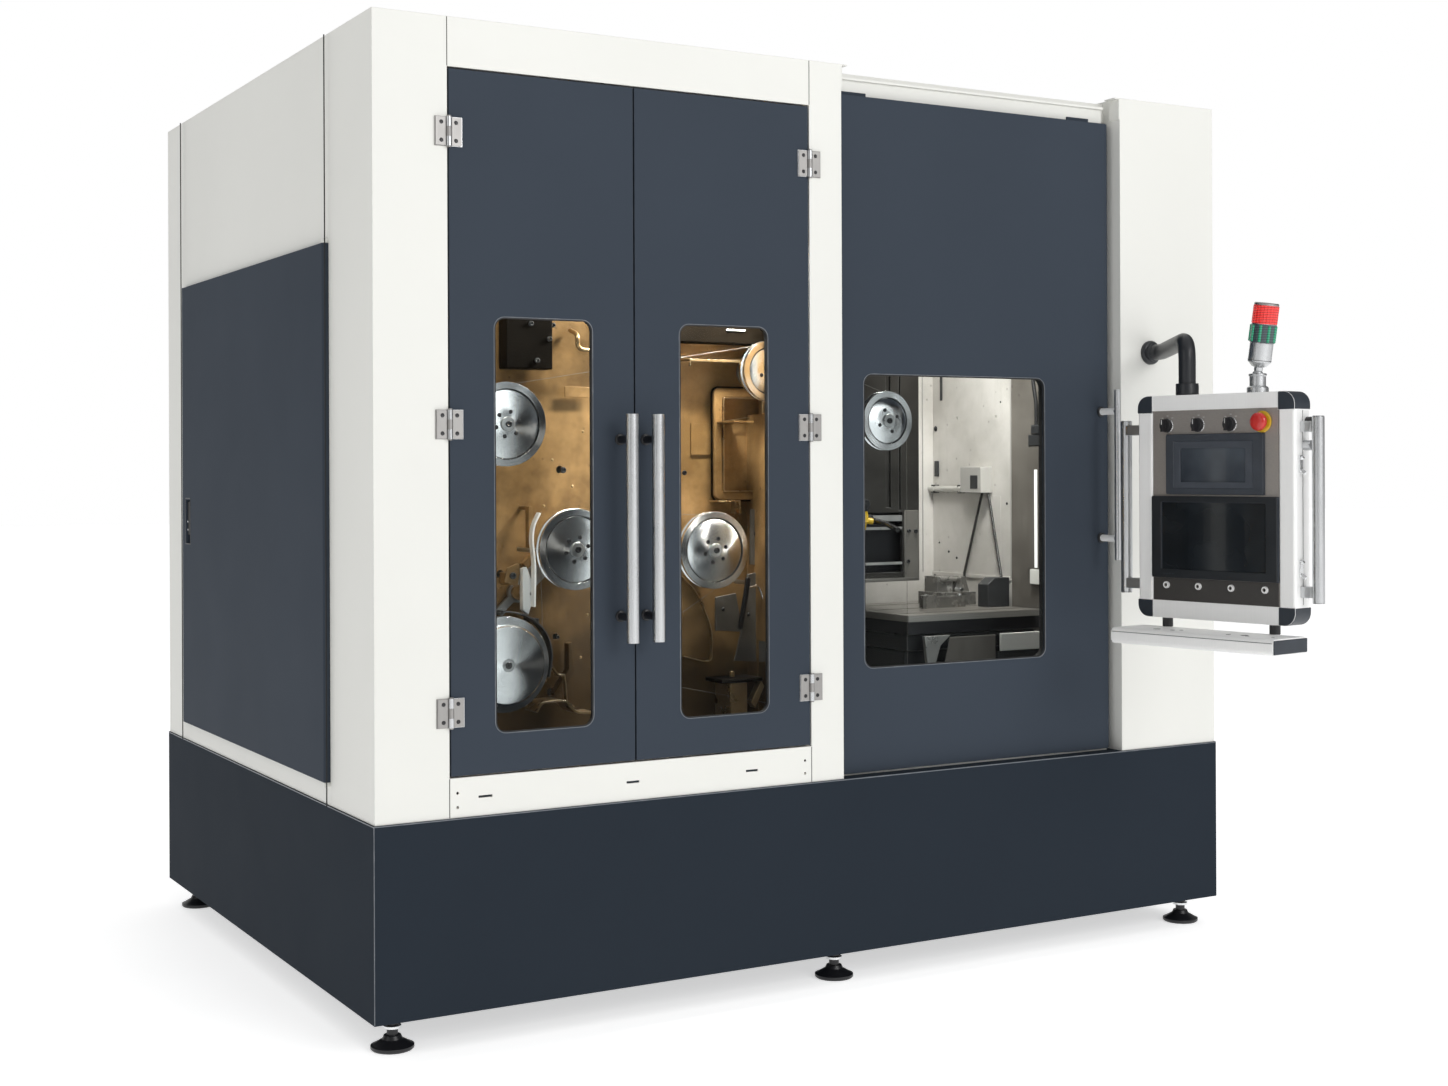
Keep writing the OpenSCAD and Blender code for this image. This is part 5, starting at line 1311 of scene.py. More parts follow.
    def plate_window(self) -> None:
        """Frames the opening in the wheel plate, with a painted shadow line round it, its lining and the
        crease inside.
        """
        f, face = self.finish, self.face
        opening = rounded((1016, 1088), (1130, 1322), 8)
        for name, finish, outer, inner, depth, bevel in (
            ("frame", f.bronze, rounded((993, 1068), (1153, 1345), 16), opening, 12, 3),
            ("rim", f.near_black, rounded((989, 1064), (1157, 1349), 19),
             # Painted shadow: the rim is a thin near-black line round the frame.
             rounded((993.2, 1068.2), (1152.8, 1344.8), 16), 3, 0),
            ("lining", f.gilt, opening, rounded((1019, 1091), (1127, 1319), 6), 16, 0),
        ):
            self.shape().frame(outer, inner, face - depth, face).make(f"plate_window_{name}", finish, bevel)
        crease = self.shape().ribbon([(1020, 1262), (1060, 1268), (1126, 1278)], 1.6, face - 2, face)
        crease.make("plate_crease", f.gilt)

    def centre_guard(self) -> None:
        """Bends the guard beside the centre wheel and backs it with a sheet."""
        f, face = self.finish, self.face
        guard = bend([(896, 884), (926, 856), (950, 818), (974, 760), (979, 720), (976, 676), (958, 674),
                      (900, 690)], 14)
        self.shape().ribbon(guard, 2.5, face - 24, face - 10).make("centre_guard", f.gilt)
        sheet = [(880, 868), (896, 882), (926, 854), (950, 816), (972, 760), (977, 720), (974, 677),
                 (900, 688), (880, 700)]
        self.shape().plate(sheet, face - 14, face - 11).make("guard_sheet", f.bronze)

    def grey_plates(self) -> None:
        """Hangs three grey plates in front of the wheel plate, each on a stay and with a screw."""
        f, face = self.finish, self.face
        for name, outline, depth in (
            ("upper_grey_plate", [(1088, 908), (1141, 900), (1141, 1040), (1090, 1046)], 22),
            ("middle_grey_plate", [(989, 748), (1066, 742), (1048, 838), (990, 830)], 20),
            ("lower_grey_plate", [(1040, 672), (1139, 664), (1141, 892), (1078, 884), (1064, 760)], 26),
        ):
            self.shape().plate(outline, face - depth, face - depth + 6).make(name, f.cast, 1)
            x, z = (sum(values) / len(outline) for values in zip(*outline))
            self.shape().rod((x, face - depth + 6, z), (x, face, z), 7).make(f"{name}_stay", f.dark)
            screw = self.shape().dome((x - 12, face - depth, z + 10), FRONT, 5, 3, 16)
            screw.make(f"{name}_screw", f.black)

    def black_lever(self) -> None:
        """Builds the black lever with its pin and its bright arm."""
        f, face = self.finish, self.face
        lever = [(1060, 878), (1054, 840), (1045, 795), (1036, 752)]
        self.shape().ribbon(lever, 13, face - 62, face - 54).make("black_lever", f.black, 2)
        self.shape().rod((1057, face - 56, 866), (1057, face, 866), 5).make("lever_pin", f.steel)
        y = face - 58
        arm = bend([(1054, y, 852), (1088, y, 858), (1096, y, 846), (1108, y, 812)], 8)
        self.shape().tube(arm, 3).make("lever_arm", f.chrome)

    def wire_switch(self) -> None:
        """Builds the switch that feels for a broken wire, with its cap and its wing."""
        f, face = self.finish, self.face
        self.blocks(
            ("wire_switch", f.gilt, 2, ((994, face - 84, 520), (1041, face - 6, 624)),
             ((1010, face - 60, 636), (1020, face - 50, 650))),
            ("switch_cap", f.near_black, 2, ((968, face - 86, 625), (1084, face - 4, 635))),
        )
        wing = [(1052, 574), (1064, 560), (1090, 612), (1082, 626)]
        self.shape().plate(wing, face - 84, face - 60).make("switch_wing", f.gilt, 1)


@dataclass
class Bay(SubAssembly):
    """The work bay: saw head, bed, saddle, table, fixture and coolant lines."""

    skin: float = 0.5
    box: Flat = (540.0, 632.0)
    box_depth: float = 41.6

    def build(self) -> None:
        """Dresses the bay."""
        f = self.finish
        self.coat(f.bay, "bay_walls")
        self.coat(f.head, "saw_head")
        self.coat(f.dark, "bed", "saddle")
        self.coat(f.table, "worktable")
        self.coat(f.fixture, "work_fixture")
        self.coat(f.hose, "coolant_lines")
        self.wall = self.span("right_column")[0].x
        self.head_front()
        self.nozzle()
        self.wall_pieces()
        self.junction_box()
        self.duct()
        self.table_pieces()
        self.bed_pieces()

    def head_front(self) -> None:
        """Brightens the saw head's rails and sets a black sheet behind them as painted shade for the dark
        space there.
        """
        f, (low, high) = self.finish, self.span("saw_head")
        x0, x1, y, z = low.x + 60, high.x - 54, low.y, low.z
        rails = [((x0, y + 2.2, z + base - self.skin), (x1, y + 3, z + base + tall + self.skin))
                 for base, tall in ((160, 15), (138, 6), (45, 6))]
        self.blocks(
            ("head_rails", f.rail, 0, *rails),
            # Painted shade: a black sheet behind the rails.
            ("head_shade_sheet", f.black, 0, ((low.x + 9, y + 40, z + 9), (high.x - 9, y + 44, z + 200))),
            ("head_cheek", f.lining, 1, ((high.x - 50, y - 2.4, z + 4), (high.x - 2, y, z + 188))),
            ("head_lower_bar", f.table, 1, ((low.x + 280, y - 3.4, z + 0.4), (high.x - 4, y - 0.2, z + 9))),
        )
        bits, screws = self.shape(), self.shape()
        for u, v in ((130, 70), (158, 72), (220, 104)):
            bits.rod((low.x + u, y + 40, z + v), (low.x + u, y + 26, z + v), 7)
        bits.make("head_fittings", f.chrome)
        for u, v in ((36, 133), (13, 132), (38, 52)):
            screws.screw((high.x - u, y - 2.4, z + v), FRONT, 5.5, 4)
        screws.make("cheek_screws", f.black)

    def nozzle(self) -> None:
        """Builds the coolant nozzle's black valve and its yellow fitting."""
        low = self.span("saw_head")[0]
        for name, finish, *rods in (
            ("coolant_valve", self.finish.plastic, ((0, -2, 44), (0, -52, 40), 15),
             ((6, -30, 50), (6, -30, 6), 11), ((2, -30, 66), (2, -30, 44), 9)),
            ("coolant_fitting", self.finish.yellow, ((6, -30, 22), (8, -34, -8), 12),
             ((8, -34, 0), (28, -44, -4), 8), ((8, -34, -6), (4, -36, -24), 6)),
        ):
            shape, seat = self.shape(), low + Vector((263, 0, 165))
            for start, end, radius in rods:
                shape.rod(seat + Vector(start), seat + Vector(end), radius)
            shape.make(name, finish)

    def wall_pieces(self) -> None:
        """Sets the lining, the seams and the screws of the bay's right wall."""
        f, x = self.finish, self.wall
        marks = self.shape()
        for y, z, r in ((806, 1261, 8), (808, 827, 9), (744, 901, 4), (790, 926, 3), (706, 884, 4),
                        (473, 1045, 4), (500, 1330, 3)):
            marks.dome((x - 0.1, y, z), LEFT, r, r * 0.6, 18)
        marks.make("wall_screws", f.black)
        self.blocks(
            ("column_lining", f.lining, 0, ((x - 1.2, 72, 420), (x - 0.2, 451, 1998))),
            ("wall_edges", f.box, 0, ((x - 2.0, 452, 840), (x - 0.2, 456, 1990)),
             ((1984, 817.6, 840), (1987, 819.4, 1990))),
            ("wall_patch", f.bay, 0, ((x - 0.9, 500, 620), (x - 0.2, 600, 1066))),
            ("wall_clips", f.dark, 1, ((x - 2.0, 771, 1343), (x - 0.2, 783, 1470)),
             ((x - 6, 790, 1120), (x - 0.2, 806, 1166))),
        )

    def junction_box(self) -> None:
        """Sets the box on the bay's right wall and its pipe to the rear."""
        f, x, (y0, y1), line = self.finish, self.wall, self.box, self.span("coolant_lines")[1]
        top = line.z
        self.blocks(
            ("junction_box", f.box, 1.2,
             ((x - self.box_depth, y0 - 1.6, top - 71.6), (x - 0.5, y1 + 1.6, top + 1.6))),
            ("junction_box_mouth", f.dark, 0.3,
             ((x - 42.6, y0 + 12, top - 60), (x - 41.8, y0 + 46, top - 22))),
        )
        pipe = self.shape()
        for start, end, radius in ((y1 - 2, line.y + 0.5, 9), (y1 + 30, y1 + 42, 11), (790.0, 802.0, 11)):
            pipe.rod((x - 12, start, top - 62), (x - 12, end, top - 62), radius)
        pipe.make("wall_pipe", f.rail)

    def duct(self) -> None:
        """Dresses the cable duct on the column with its collar and light strip."""
        f, x = self.finish, self.wall
        self.blocks(
            ("duct_skin", f.lining, 0, ((x - 9.8, 309.4, 868), (x - 0.6, 374, 1204))),
            ("bay_light_strip", f.glow, 0, ((x - 11.4, 329, 872), (x - 9.9, 340, 1140))),
            ("duct_collar", f.dark, 3, ((x - 12, 306, 1204), (x - 0.4, 366, 1236)),
             ((x - 14, 318, 1236), (x - 1, 352, 1262))),
            ("duct_foot", f.white, 1, ((x - 12, 310, 826), (x - 9.2, 360, 866))),
        )
        cable = bend([(x - 7, 336, 1262), (x - 7, 336, 1330), (x - 7, 350, 1380), (x - 7, 350, 1960)], 30)
        self.shape().tube(cable, 5).make("duct_cable", f.rubber)

    def table_pieces(self) -> None:
        """Dresses the table and its fixture."""
        f, (low, high) = self.finish, self.span("worktable")
        x, y, middle = low.x, low.y, high.z - 17
        # The table's front and left faces: a bright band at the top, and below it a black band as painted
        # shadow under the thin table.
        for name, base, top, finish in (("table_edge", middle, high.z - 0.5, f.table_side),
                                        ("table_shadow_band", low.z, middle, f.black)):
            edge = self.shape("feed_table").block((x, y - 0.7, base), (high.x, y, top))
            edge.block((x - 0.7, y, base), (x, high.y, top)).make(name, finish)
        end = [(359.4, 0.2), (434.6, 0.2), (434.6, 80.5), (383.6, 80.5), (359.4, 62.4)]
        skin = self.shape("feed_table").plate([(x + u, high.z + v) for u, v in end], y + 127.4, y + 172.6)
        skin.make("end_block_skin", f.dark, 1.5)
        nuts = self.shape("feed_table")
        for u, v in ((205, 187), (320, 205), (214, 212)):
            nuts.screw((x + u, y + v, high.z + 30), UP, 7, 6)
        nuts.make("clamp_nuts", f.chrome)
        u, v = x + 352, high.z + 44
        self.shape("feed_table").rod((u, y + 262, v), (u, y + 236, v), 6).make("vice_screw", f.chrome)

    def bed_pieces(self) -> None:
        """Builds the bracket, the panel and the tray that stand before the bed."""
        f, (low, high), bed = self.finish, self.span("worktable"), self.span("bed")[0].z
        x, y, z = low
        for name, finish, outline, front, back in (
            ("bed_bracket", f.rail, [(35, -4), (118, -4), (86, -30), (68, -82), (64, -164), (40, -164),
                                     (44, -74)], 24, 12),
            ("bed_side_panel", f.lining, [(120, -10), (270, -10), (270, -150), (84, -150)], 20, 16),
        ):
            sheet = self.shape().plate([(x + u, z + v) for u, v in outline], y - front, y - back)
            sheet.make(name, finish, 1)
        feet = [((x + u, y - 16, bed - 2), (x + u + 14, y + 44, bed + 20)) for u in (100, 260, 430)]
        self.blocks(
            ("bed_panel_feet", f.dark, 1, *feet),
            ("chip_tray_front", f.dark, 1, ((x + 280, y - 20, z - 150), (high.x - 4, y - 16, z - 56))),
            ("chip_tray_lip", f.white, 1, ((x + 286, y - 22, z - 55), (high.x - 6, y - 16, z - 8))),
        )


@dataclass
class Pendant(SubAssembly):
    """The operator's pendant, its arm, controls and lamp."""

    home: Point = (1907.0, -190.0, 779.0)
    turn: float = math.radians(-81)
    width: float = 450.0
    height: float = 540.0
    depth: float = 60.0
    profile: float = 45.0
    corner: float = 30.0
    low_bar: float = 42.0
    strip: float = 446.0
    panel: float = 301.0
    floor: float = 98.0
    arm_height: float = 1444.0
    arm_seat: Flat = (125.0, 32.0)
    arm_radius: float = 20.6
    side_bars: Flat = (-62.0, 490.0)
    shelf_low: float = -62.0
    shelf_top: float = -24.0
    shelf_front: float = -98.0
    shelf_back: float = 36.0
    lamp_seat: Flat = (323.0, 38.0)
    lamp_lift: float = 42.0
    lamp_base: float = 76.0
    lean: float = math.radians(9)

    def __post_init__(self) -> None:
        """Finds the pendant's drawing frame, and the lamp's."""
        super().__post_init__()
        self.case = self.machine @ Matrix.Translation(self.home) @ Matrix.Rotation(self.turn, 4, "Z")
        seat = Matrix.Translation((*self.lamp_seat, self.height + self.lamp_lift))
        self.stand = self.case @ seat @ Matrix.Rotation(self.lean, 4, "Y")

    def drawn(self, body: str = "pendant") -> Shape:
        """Starts a shape in the pendant's drawing frame."""
        return Shape(self.case, body)

    def build(self) -> None:
        """Dresses the pendant."""
        f = self.finish
        self.coat(f.black, "pendant_arm")
        self.coat(f.slate, "pendant_case")
        self.coat(f.profile, "pendant_frame", "keyboard_shelf")
        self.coat(f.fascia, "pendant_fascia")
        self.coat(f.bezel, "touch_panel", "monitor")
        self.coat(f.stainless_z, "side_handles", "stack_light")
        self.coat(f.plastic, "selector_1", "selector_2", "selector_3")
        self.coat(f.red, "stop_button")
        self.arm()
        self.corners()
        self.screens()
        self.selectors()
        self.stop_button()
        self.strip_screws()
        self.sides()
        self.shelf()
        self.lamp()

    def arm(self) -> None:
        """Bends the smooth arm that stands for the CAD one, with its flange and collar."""
        satin, z = self.finish.satin, self.arm_height
        wall, x = self.span("left_front_post")[0].y, self.span("right_column")[0].x + 100
        top = self.machine.inverted() @ self.case @ Vector((*self.arm_seat, self.height + 28.4))
        route = [(x, wall - 2, z), (x, wall - 45, z), (top.x, top.y, z + 11), top]
        piece = self.shape().tube(bend(route, 62, 14), self.arm_radius, 32).make("pendant_arm_tube", satin)
        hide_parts("pendant_arm")
        flange = [(31, 0), (31, 7), (28, 11), (23.5, 12), (23.5, 20), (21, 22)]
        self.shape().lathe((x, wall, z), FRONT, flange, 48).make("arm_wall_flange", satin)
        collar = [(21.4, 28.8), (26.6, 28.8), (27.4, 27), (27.4, 2), (26.2, 0.4), (26.2, 28.2), (21.4, 28.2)]
        self.drawn().washer((*self.arm_seat, self.height), UP, collar, 48).make("arm_collar", satin)

    def corners(self) -> None:
        """Caps the frame's four corners in dark plastic."""
        grow = 0.5
        side, top_edge, reach = self.profile + grow, self.low_bar + grow, self.corner + grow
        turns = [math.pi / 2 * k / 8 for k in range(9)]
        arc = [(self.corner - reach * math.cos(a), self.corner - reach * math.sin(a)) for a in turns]
        caps = self.drawn()
        for right in (False, True):
            for top in (False, True):
                outline = [(side, -grow), (side, top_edge), (-grow, top_edge), *arc]
                mirror = [(self.width - u if right else u, self.height - v if top else v) for u, v in outline]
                caps.plate(mirror, -1.6, self.depth + 1.6)
        caps.make("corner_caps", self.finish.cap, 2.5)

    def screens(self) -> None:
        """Fits both displays and their bezels."""
        f, low, top, floor, roof = self.finish, self.panel, self.strip, self.floor, self.panel - 5
        touch = rounded((112, low + 14), (338, top - 18), 3)
        for name, finish, outer, inner, front, back, bevel in (
            ("touch_bezel", f.bezel, rounded((88.6, low), (367.4, top - 1), 5), touch, -5.5, -2.1, 1),
            ("touch_inner_bezel", f.bezel_light, touch, rounded((131, low + 29), (317, top - 35), 2),
             -4.6, -1.9, 0.8),
            ("monitor_bezel", f.monitor, rounded((45.6, floor + 0.6), (404.4, roof - 0.6), 4),
             rounded((74, floor + 21), (374, roof - 14), 3), -6.2, -3.1, 1.2),
        ):
            self.drawn().frame(outer, inner, front, back).make(name, finish, bevel)
        for name, finish, start, end in (
            ("touch_glass", f.screen_lit, (130.4, -1.4, low + 28.4), (317.6, -0.6, top - 34.4)),
            ("monitor_glass", f.screen, (74.6, -2.4, floor + 20.6), (373.4, -1.6, roof - 15)),
            # Painted shade and reflection: the fascia's strip below the monitor is darkened.
            ("fascia_shade_strip", f.shade_strip, (45.8, 1.0, 43), (404.2, 1.8, floor - 1)),
        ):
            self.drawn().block(start, end).make(name, finish)
        keys = self.drawn()
        for u in range(80, 116, 9):
            keys.block((u, -6.6, floor + 9), (u + 6, -6.2, floor + 11))
        keys.make("monitor_keys", f.cap)

    def selectors(self) -> None:
        """Dresses the three selectors with rings, grips, pointers and marks."""
        f, v = self.finish, self.strip + 21
        grip = [(15.1, -1.4), (15.9, -1.4), (15.9, 7), (14.6, 10.6), (13.6, 10.6), (13.6, 9)]
        rim = [(15.4, 0), (17.4, 0), (17.4, 1.6), (15.4, 2.2)]
        for u, body in ((89, "selector_one"), (181, "selector_two"), (273, "selector_three")):
            self.drawn().washer((u, 1.9, v), FRONT, rim, 40).make(f"{body}_ring", f.chrome)
            knob = self.drawn(body).washer((u, 0, v), FRONT, grip, 40)
            for du, dv in around(15.9, 18):
                knob.rod((u + du, 1.0, v + dv), (u + du, -6.6, v + dv), 1.0, 8)
            knob.make(f"{body}_grip_ring", f.plastic)
            line = self.drawn(body).block((u - 0.9, -22.5, v + 2), (u + 0.9, -22.0, v + 13.5))
            line.make(f"{body}_pointer", f.mark)
            marks = self.drawn()
            for lean in (math.radians(-38), 0.0, math.radians(38)):
                x, z = u + 23.5 * math.sin(lean), v + 23.5 * math.cos(lean)
                marks.block((x - 2.6, 1.5, z - 1), (x + 2.6, 1.95, z + 1))
            marks.make(f"{body}_marks", f.mark)

    def stop_button(self) -> None:
        """Rings the stop button in yellow and crowns it in red."""
        u, v = 362, self.strip + 25
        ring = [(11.6, 0), (25.5, 0), (25.5, 1.4), (24, 2.2), (11.6, 2.2)]
        self.drawn().washer((u, 0.4, v), FRONT, ring, 56).make("stop_ring", self.finish.yellow)
        crown = [(18.4, 8.8), (20.5, 10.5), (21.4, 14.5), (21.0, 18.5), (18.6, 22.0), (14.0, 24.2),
                 (7.0, 25.2), (0.0, 25.4)]
        self.drawn("stop_head").lathe((u, 0, v), FRONT, crown, 56).make("stop_crown", self.finish.red)

    def strip_screws(self) -> None:
        """Sets the four socket screws of the fascia's lower strip."""
        head = [(8.5, 0), (8.5, 5), (7.2, 6.4), (4.8, 6.4), (4.4, 3.4), (4.4, 0)]
        heads, sockets = self.drawn(), self.drawn()
        for u in (86, 180, 274, 368):
            heads.washer((u, 2, 80), FRONT, head, 32)
            sockets.lathe((u, -0.8, 80), FRONT, [(4.2, 0), (4.2, 0.3), (0, 0.35)], 6)
        heads.make("strip_screws", self.finish.profile)
        sockets.make("strip_sockets", self.finish.black)

    def sides(self) -> None:
        """Dresses the side bars, their brackets, the latches and the clamp knob."""
        f, w, (left, right) = self.finish, self.width, self.side_bars
        brackets, rings, latches, grooves = self.drawn(), self.drawn(), self.drawn(), self.drawn()
        for v in (78, 458):
            brackets.block((left + 12, 19.4, v - 12.6), (-0.2, 44.6, v + 12.6))
            brackets.block((w + 0.2, 19.4, v - 12.6), (right - 12, 44.6, v + 12.6))
        brackets.make("side_bar_brackets", f.stainless_x, 1.5)
        for u in self.side_bars:
            for v in (52.5, 480):
                rings.lathe((u, 32, v), UP, [(11, 0), (13.6, 0.8), (13.6, 1.7), (11, 2.5)], 32)
        rings.make("side_bar_ends", f.chrome)
        knob = [(11, 0), (11, 10), (9, 12), (9, 15), (11, 17), (11, 21), (8, 22.5), (0, 22.5)]
        self.drawn().lathe((w + 0.4, 48, 470), RIGHT, knob, 32).make("clamp_knob", f.plastic)
        for v in (372, 132):
            latches.block((w + 0.1, 14, v - 20), (w + 4, 26, v + 20))
            latches.rod((w + 3, 20, v - 14), (w + 14, 20, v - 22), 4.5)
            latches.rod((w + 3, 20, v + 12), (w + 9, 20, v + 16), 4.0)
        latches.make("case_latches", f.chrome, 1)
        grooves.block((w - 0.1, 29.4, 48), (w + 0.5, 30.8, self.height - 44))
        inset = self.profile + 6
        for v in (0.0, self.height):
            grooves.block((inset, 29.4, v - 0.4), (w - inset, 30.8, v + 0.4))
        grooves.make("profile_grooves", f.dark)

    def shelf(self) -> None:
        """Dresses the keyboard shelf with its end caps, holes and posts."""
        f, low, top = self.finish, self.shelf_low, self.shelf_top
        front, back = self.shelf_front, self.shelf_back
        caps, holes, posts = self.drawn(), self.drawn(), self.drawn()
        for u in (-9.0, 456.0):
            caps.block((u, front + 3, low + 3), (u + 3, back - 3, top - 3))
        caps.make("shelf_end_caps", f.cap, 2.5)
        for u, n, wide in ((98, -53, 9), (144, -53, 6), (160, -40, 5), (304, -53, 6), (344, -46, 9),
                           (360, -58, 5), (424, -50, 4)):
            holes.lathe((u, n, top - 0.1), UP, [(wide, 0), (wide, 0.4), (wide - 2, 0.6), (0, 0.6)], 24)
        holes.make("shelf_hole_liners", f.dark)
        groove = self.drawn().block((-5, front - 0.5, top - 9.6), (455, front + 1, top - 8.4))
        groove.make("shelf_groove", f.dark)
        for u in (75, 382):
            posts.rod((u, 18, top + 0.4), (u, 18, -0.4), 12.8)
        posts.make("shelf_posts", f.plastic)

    def lamp(self) -> None:
        """Dresses the signal lamp: joint, body, green and red lenses and cap."""
        f, base = self.finish, self.lamp_base
        body = [(10.4, 18), (17, 20.5), (26.8, 31), (26.8, base - 1), (26, base - 0.2), (26.2, 31), (16, 21)]
        joint = [(18.4, 12.2), (24.4, 12.2), (24.4, 0.3), (25.2, 0.3), (25.2, 11), (23, 14), (19, 16),
                 (19, 38), (21, 40), (21, 44), (18.6, 45.4), (18.4, 40)]
        for name, finish, height, profile in (
            ("lamp_body", f.stainless_z, 0, body),
            ("lamp_body_seam", f.dark, 34, [(26.9, 0), (27.3, 0), (27.3, 1.4), (26.9, 1.4)]),
            ("lamp_dark_segment", f.lens_dark, base, [(28.2, 0.4), (29, 0.4), (29, 43.6), (28.2, 43.6)]),
        ):
            Shape(self.stand, "lamp").washer((0, 0, height), UP, profile, 56).make(name, finish)
        bars = Shape(self.stand, "lamp")
        for x, y in around(28.4, 9, 0.3):
            bars.rod((x, y, base + 2), (x, y, base + 41), 3.6, 10)
        bars.make("lamp_green_bars", f.lamp_green)
        lens = Shape(self.stand, "lamp")
        lens.washer((0, 0, base), UP, [(28.2, 44.4), (28.7, 44.4), (28.7, 87.6), (28.2, 87.6)], 56)
        for x, y in around(27.6, 24):
            lens.rod((x, y, base + 45.2), (x, y, base + 86.8), 2.0, 10)
        lens.make("lamp_red_lens", f.lamp_red)
        cap = Shape(self.stand, "lamp")
        cap.lathe((0, 0, base + 88), UP, [(28.4, 0), (28.4, 3.5), (26.5, 5.6), (0, 6.2)], 56)
        cap.make("lamp_cap", f.hinge)
        self.drawn().washer((*self.lamp_seat, self.height), UP, joint, 56).make("lamp_joint", f.stainless_z)


# ---------------------------------------------------------------- studio


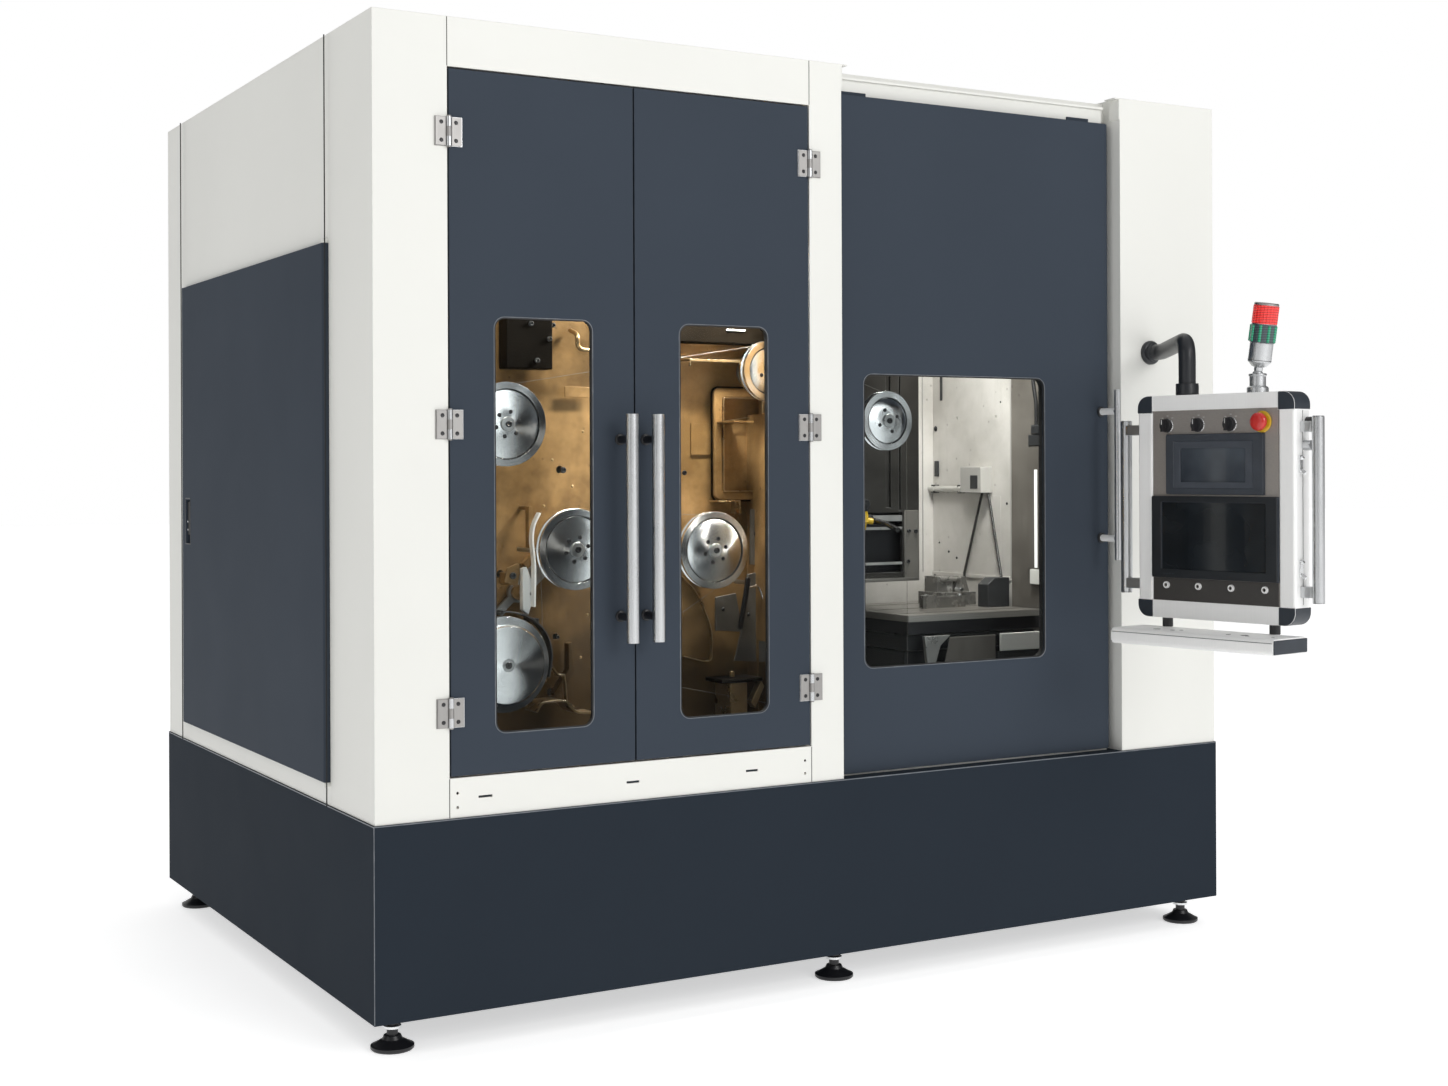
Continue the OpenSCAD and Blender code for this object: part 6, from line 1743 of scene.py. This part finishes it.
@dataclass
class Studio:
    """Floor, light and camera."""

    lens: float = 47.66
    place: Point = (-2.5235, -3.8455, 1.2183)
    yaw: float = math.radians(30.05)
    roll: float = math.radians(0.23)
    drop: float = -0.0515
    sky: float = 0.66
    flank: float = 0.16
    flank_from: float = 0.45
    flank_to: float = 0.80
    floor_lift: float = 0.58
    floor_reach: float = 40.0
    backdrop: float = 1.0
    warm: Colour = (1.0, 0.95, 0.87)
    plain: Colour = (1.0, 0.965, 0.92)

    def build(self) -> None:
        """Builds the studio."""
        self.camera()
        self.floor()
        self.world()
        self.lights()

    def camera(self) -> None:
        """Places the camera."""
        data = bpy.data.cameras.new("camera")
        data.sensor_width, data.lens, data.shift_y, data.clip_end = 36.0, self.lens, self.drop, 100.0
        obj = place_in_scene("camera", data)
        obj.matrix_world = (
            Matrix.Translation(self.place)
            @ Matrix.Rotation(-self.yaw, 4, "Z")
            @ Matrix.Rotation(math.radians(90), 4, "X")
            @ Matrix.Rotation(-self.roll, 4, "Z")
        )
        bpy.context.scene.camera = obj

    def floor(self) -> None:
        """Lays a pale floor."""
        w, r = Wiring("studio_floor"), self.floor_reach
        material = w.finish(
            Base_Color=w.mix(w.spread(w.noise(3.0, 3.0), 0.3, 0.7), (0.90, 0.90, 0.90), (0.93, 0.93, 0.93)),
            Roughness=0.7,
            Emission_Color=(1.0, 1.0, 1.0),
            Emission_Strength=self.floor_lift,
        )
        mesh = bpy.data.meshes.new("floor")
        mesh.from_pydata([(-r, -r, 0), (r, -r, 0), (r, r, 0), (-r, r, 0)], [], [(0, 1, 2, 3)])
        obj = place_in_scene("floor", mesh)
        paint(obj, material)

    def world(self) -> None:
        """Lights the sky: bright ahead and behind, dim at both flanks, and plain white to the camera."""
        world = bpy.data.worlds.new("studio")
        world.use_nodes = True
        tree = world.node_tree
        shade = tree.nodes["Background"]
        ray, where, split, flank, sky, share = (
            tree.nodes.new(f"ShaderNode{kind}")
            for kind in ("LightPath", "TexCoord", "SeparateXYZ", "Math", "MapRange", "MapRange")
        )
        flank.operation, sky.interpolation_type = "ABSOLUTE", "SMOOTHSTEP"
        for socket, value in (
            (sky.inputs["From Min"], self.flank_from), (sky.inputs["From Max"], self.flank_to),
            (sky.inputs["To Min"], self.sky), (sky.inputs["To Max"], self.flank),
            (share.inputs["To Max"], self.backdrop), (shade.inputs["Color"], (1.0, 1.0, 1.0, 1.0)),
        ):
            socket.default_value = value
        for source, socket in (
            (where.outputs["Generated"], split.inputs[0]), (split.outputs[0], flank.inputs[0]),
            (flank.outputs[0], sky.inputs["Value"]), (sky.outputs[0], share.inputs["To Min"]),
            (ray.outputs["Is Camera Ray"], share.inputs["Value"]),
            (share.outputs[0], shade.inputs["Strength"]),
        ):
            tree.links.new(source, socket)
        bpy.context.scene.world = world
        bpy.context.scene.view_settings.view_transform = "Standard"

    def lamp(
        self, name: str, place: Point, aim: Point, size: Flat, power: float, colour: Colour = (1, 1, 1),
        spread: float = 180.0, across: Point = RIGHT,
    ) -> None:
        """Adds a soft light.

        Args:
            name: its name.
            place: where it stands.
            aim: the point it faces.
            size: its width and height.
            power: its power in watts.
            colour: its colour.
            spread: the angle of its beam in degrees.
            across: the direction that its width lies along.
        """
        data = bpy.data.lights.new(name, "AREA")
        data.spread, data.energy, data.color = math.radians(spread), power, colour
        data.shape, data.size, data.size_y = "RECTANGLE", *size
        obj = place_in_scene(name, data)
        back = (Vector(place) - Vector(aim)).normalized()
        wide = (Vector(across) - back * back.dot(Vector(across))).normalized()
        turn = Matrix((wide, back.cross(wide), back)).transposed().to_4x4()
        obj.matrix_world = Matrix.Translation(place) @ turn
        obj.visible_camera = False

    def lights(self) -> None:
        """Sets the lamps outside and in the two chambers."""
        warm, plain = self.warm, self.plain
        self.lamp("key", (1.4, -6.5, 3.8), (0.1, 0.0, 1.2), (4.0, 3.0), 160)
        self.lamp("side", (-6.0, -1.0, 3.4), (-1.1, 0.8, 1.1), (3.0, 3.0), 30)
        self.lamp("chamber_left", (-0.86, 0.06, 1.78), (-0.66, 0.26, 1.0), (0.22, 0.07), 1.3, warm)
        self.lamp("chamber_right", (-0.22, 0.06, 1.78), (-0.26, 0.26, 1.0), (0.30, 0.07), 18, warm)
        self.lamp("chamber_middle", (-0.50, 0.03, 1.32), (-0.58, 0.24, 1.05), (0.04, 0.16), 0.22, warm, 56.0)
        self.lamp("chamber_far", (-0.045, 0.04, 1.20), (-0.22, 0.24, 1.02), (0.04, 0.16), 2.4, warm, 80.0)
        self.lamp("bay_top", (0.52, 0.10, 1.98), (0.86, 0.40, 1.10), (0.40, 0.14), 8, plain, 110.0)
        self.lamp("bay_wall", (0.645, 0.11, 1.34), (0.85, 0.62, 1.20), (0.05, 0.70), 0.45, plain, 75.0,
                  (1.0, -0.4, 0.0))


def main() -> None:
    """Builds the machine's looks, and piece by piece."""
    logging.basicConfig(level=logging.INFO, format="%(name)s: %(message)s")
    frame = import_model()
    finish = Finishes()
    for maker in (Cabinet, Doors, WheelChamber, Bay, Pendant):
        maker(frame["nodes"], finish).build()
        log.info("%s done", maker.__name__)
    Studio().build()


if __name__ == "__main__":
    main()
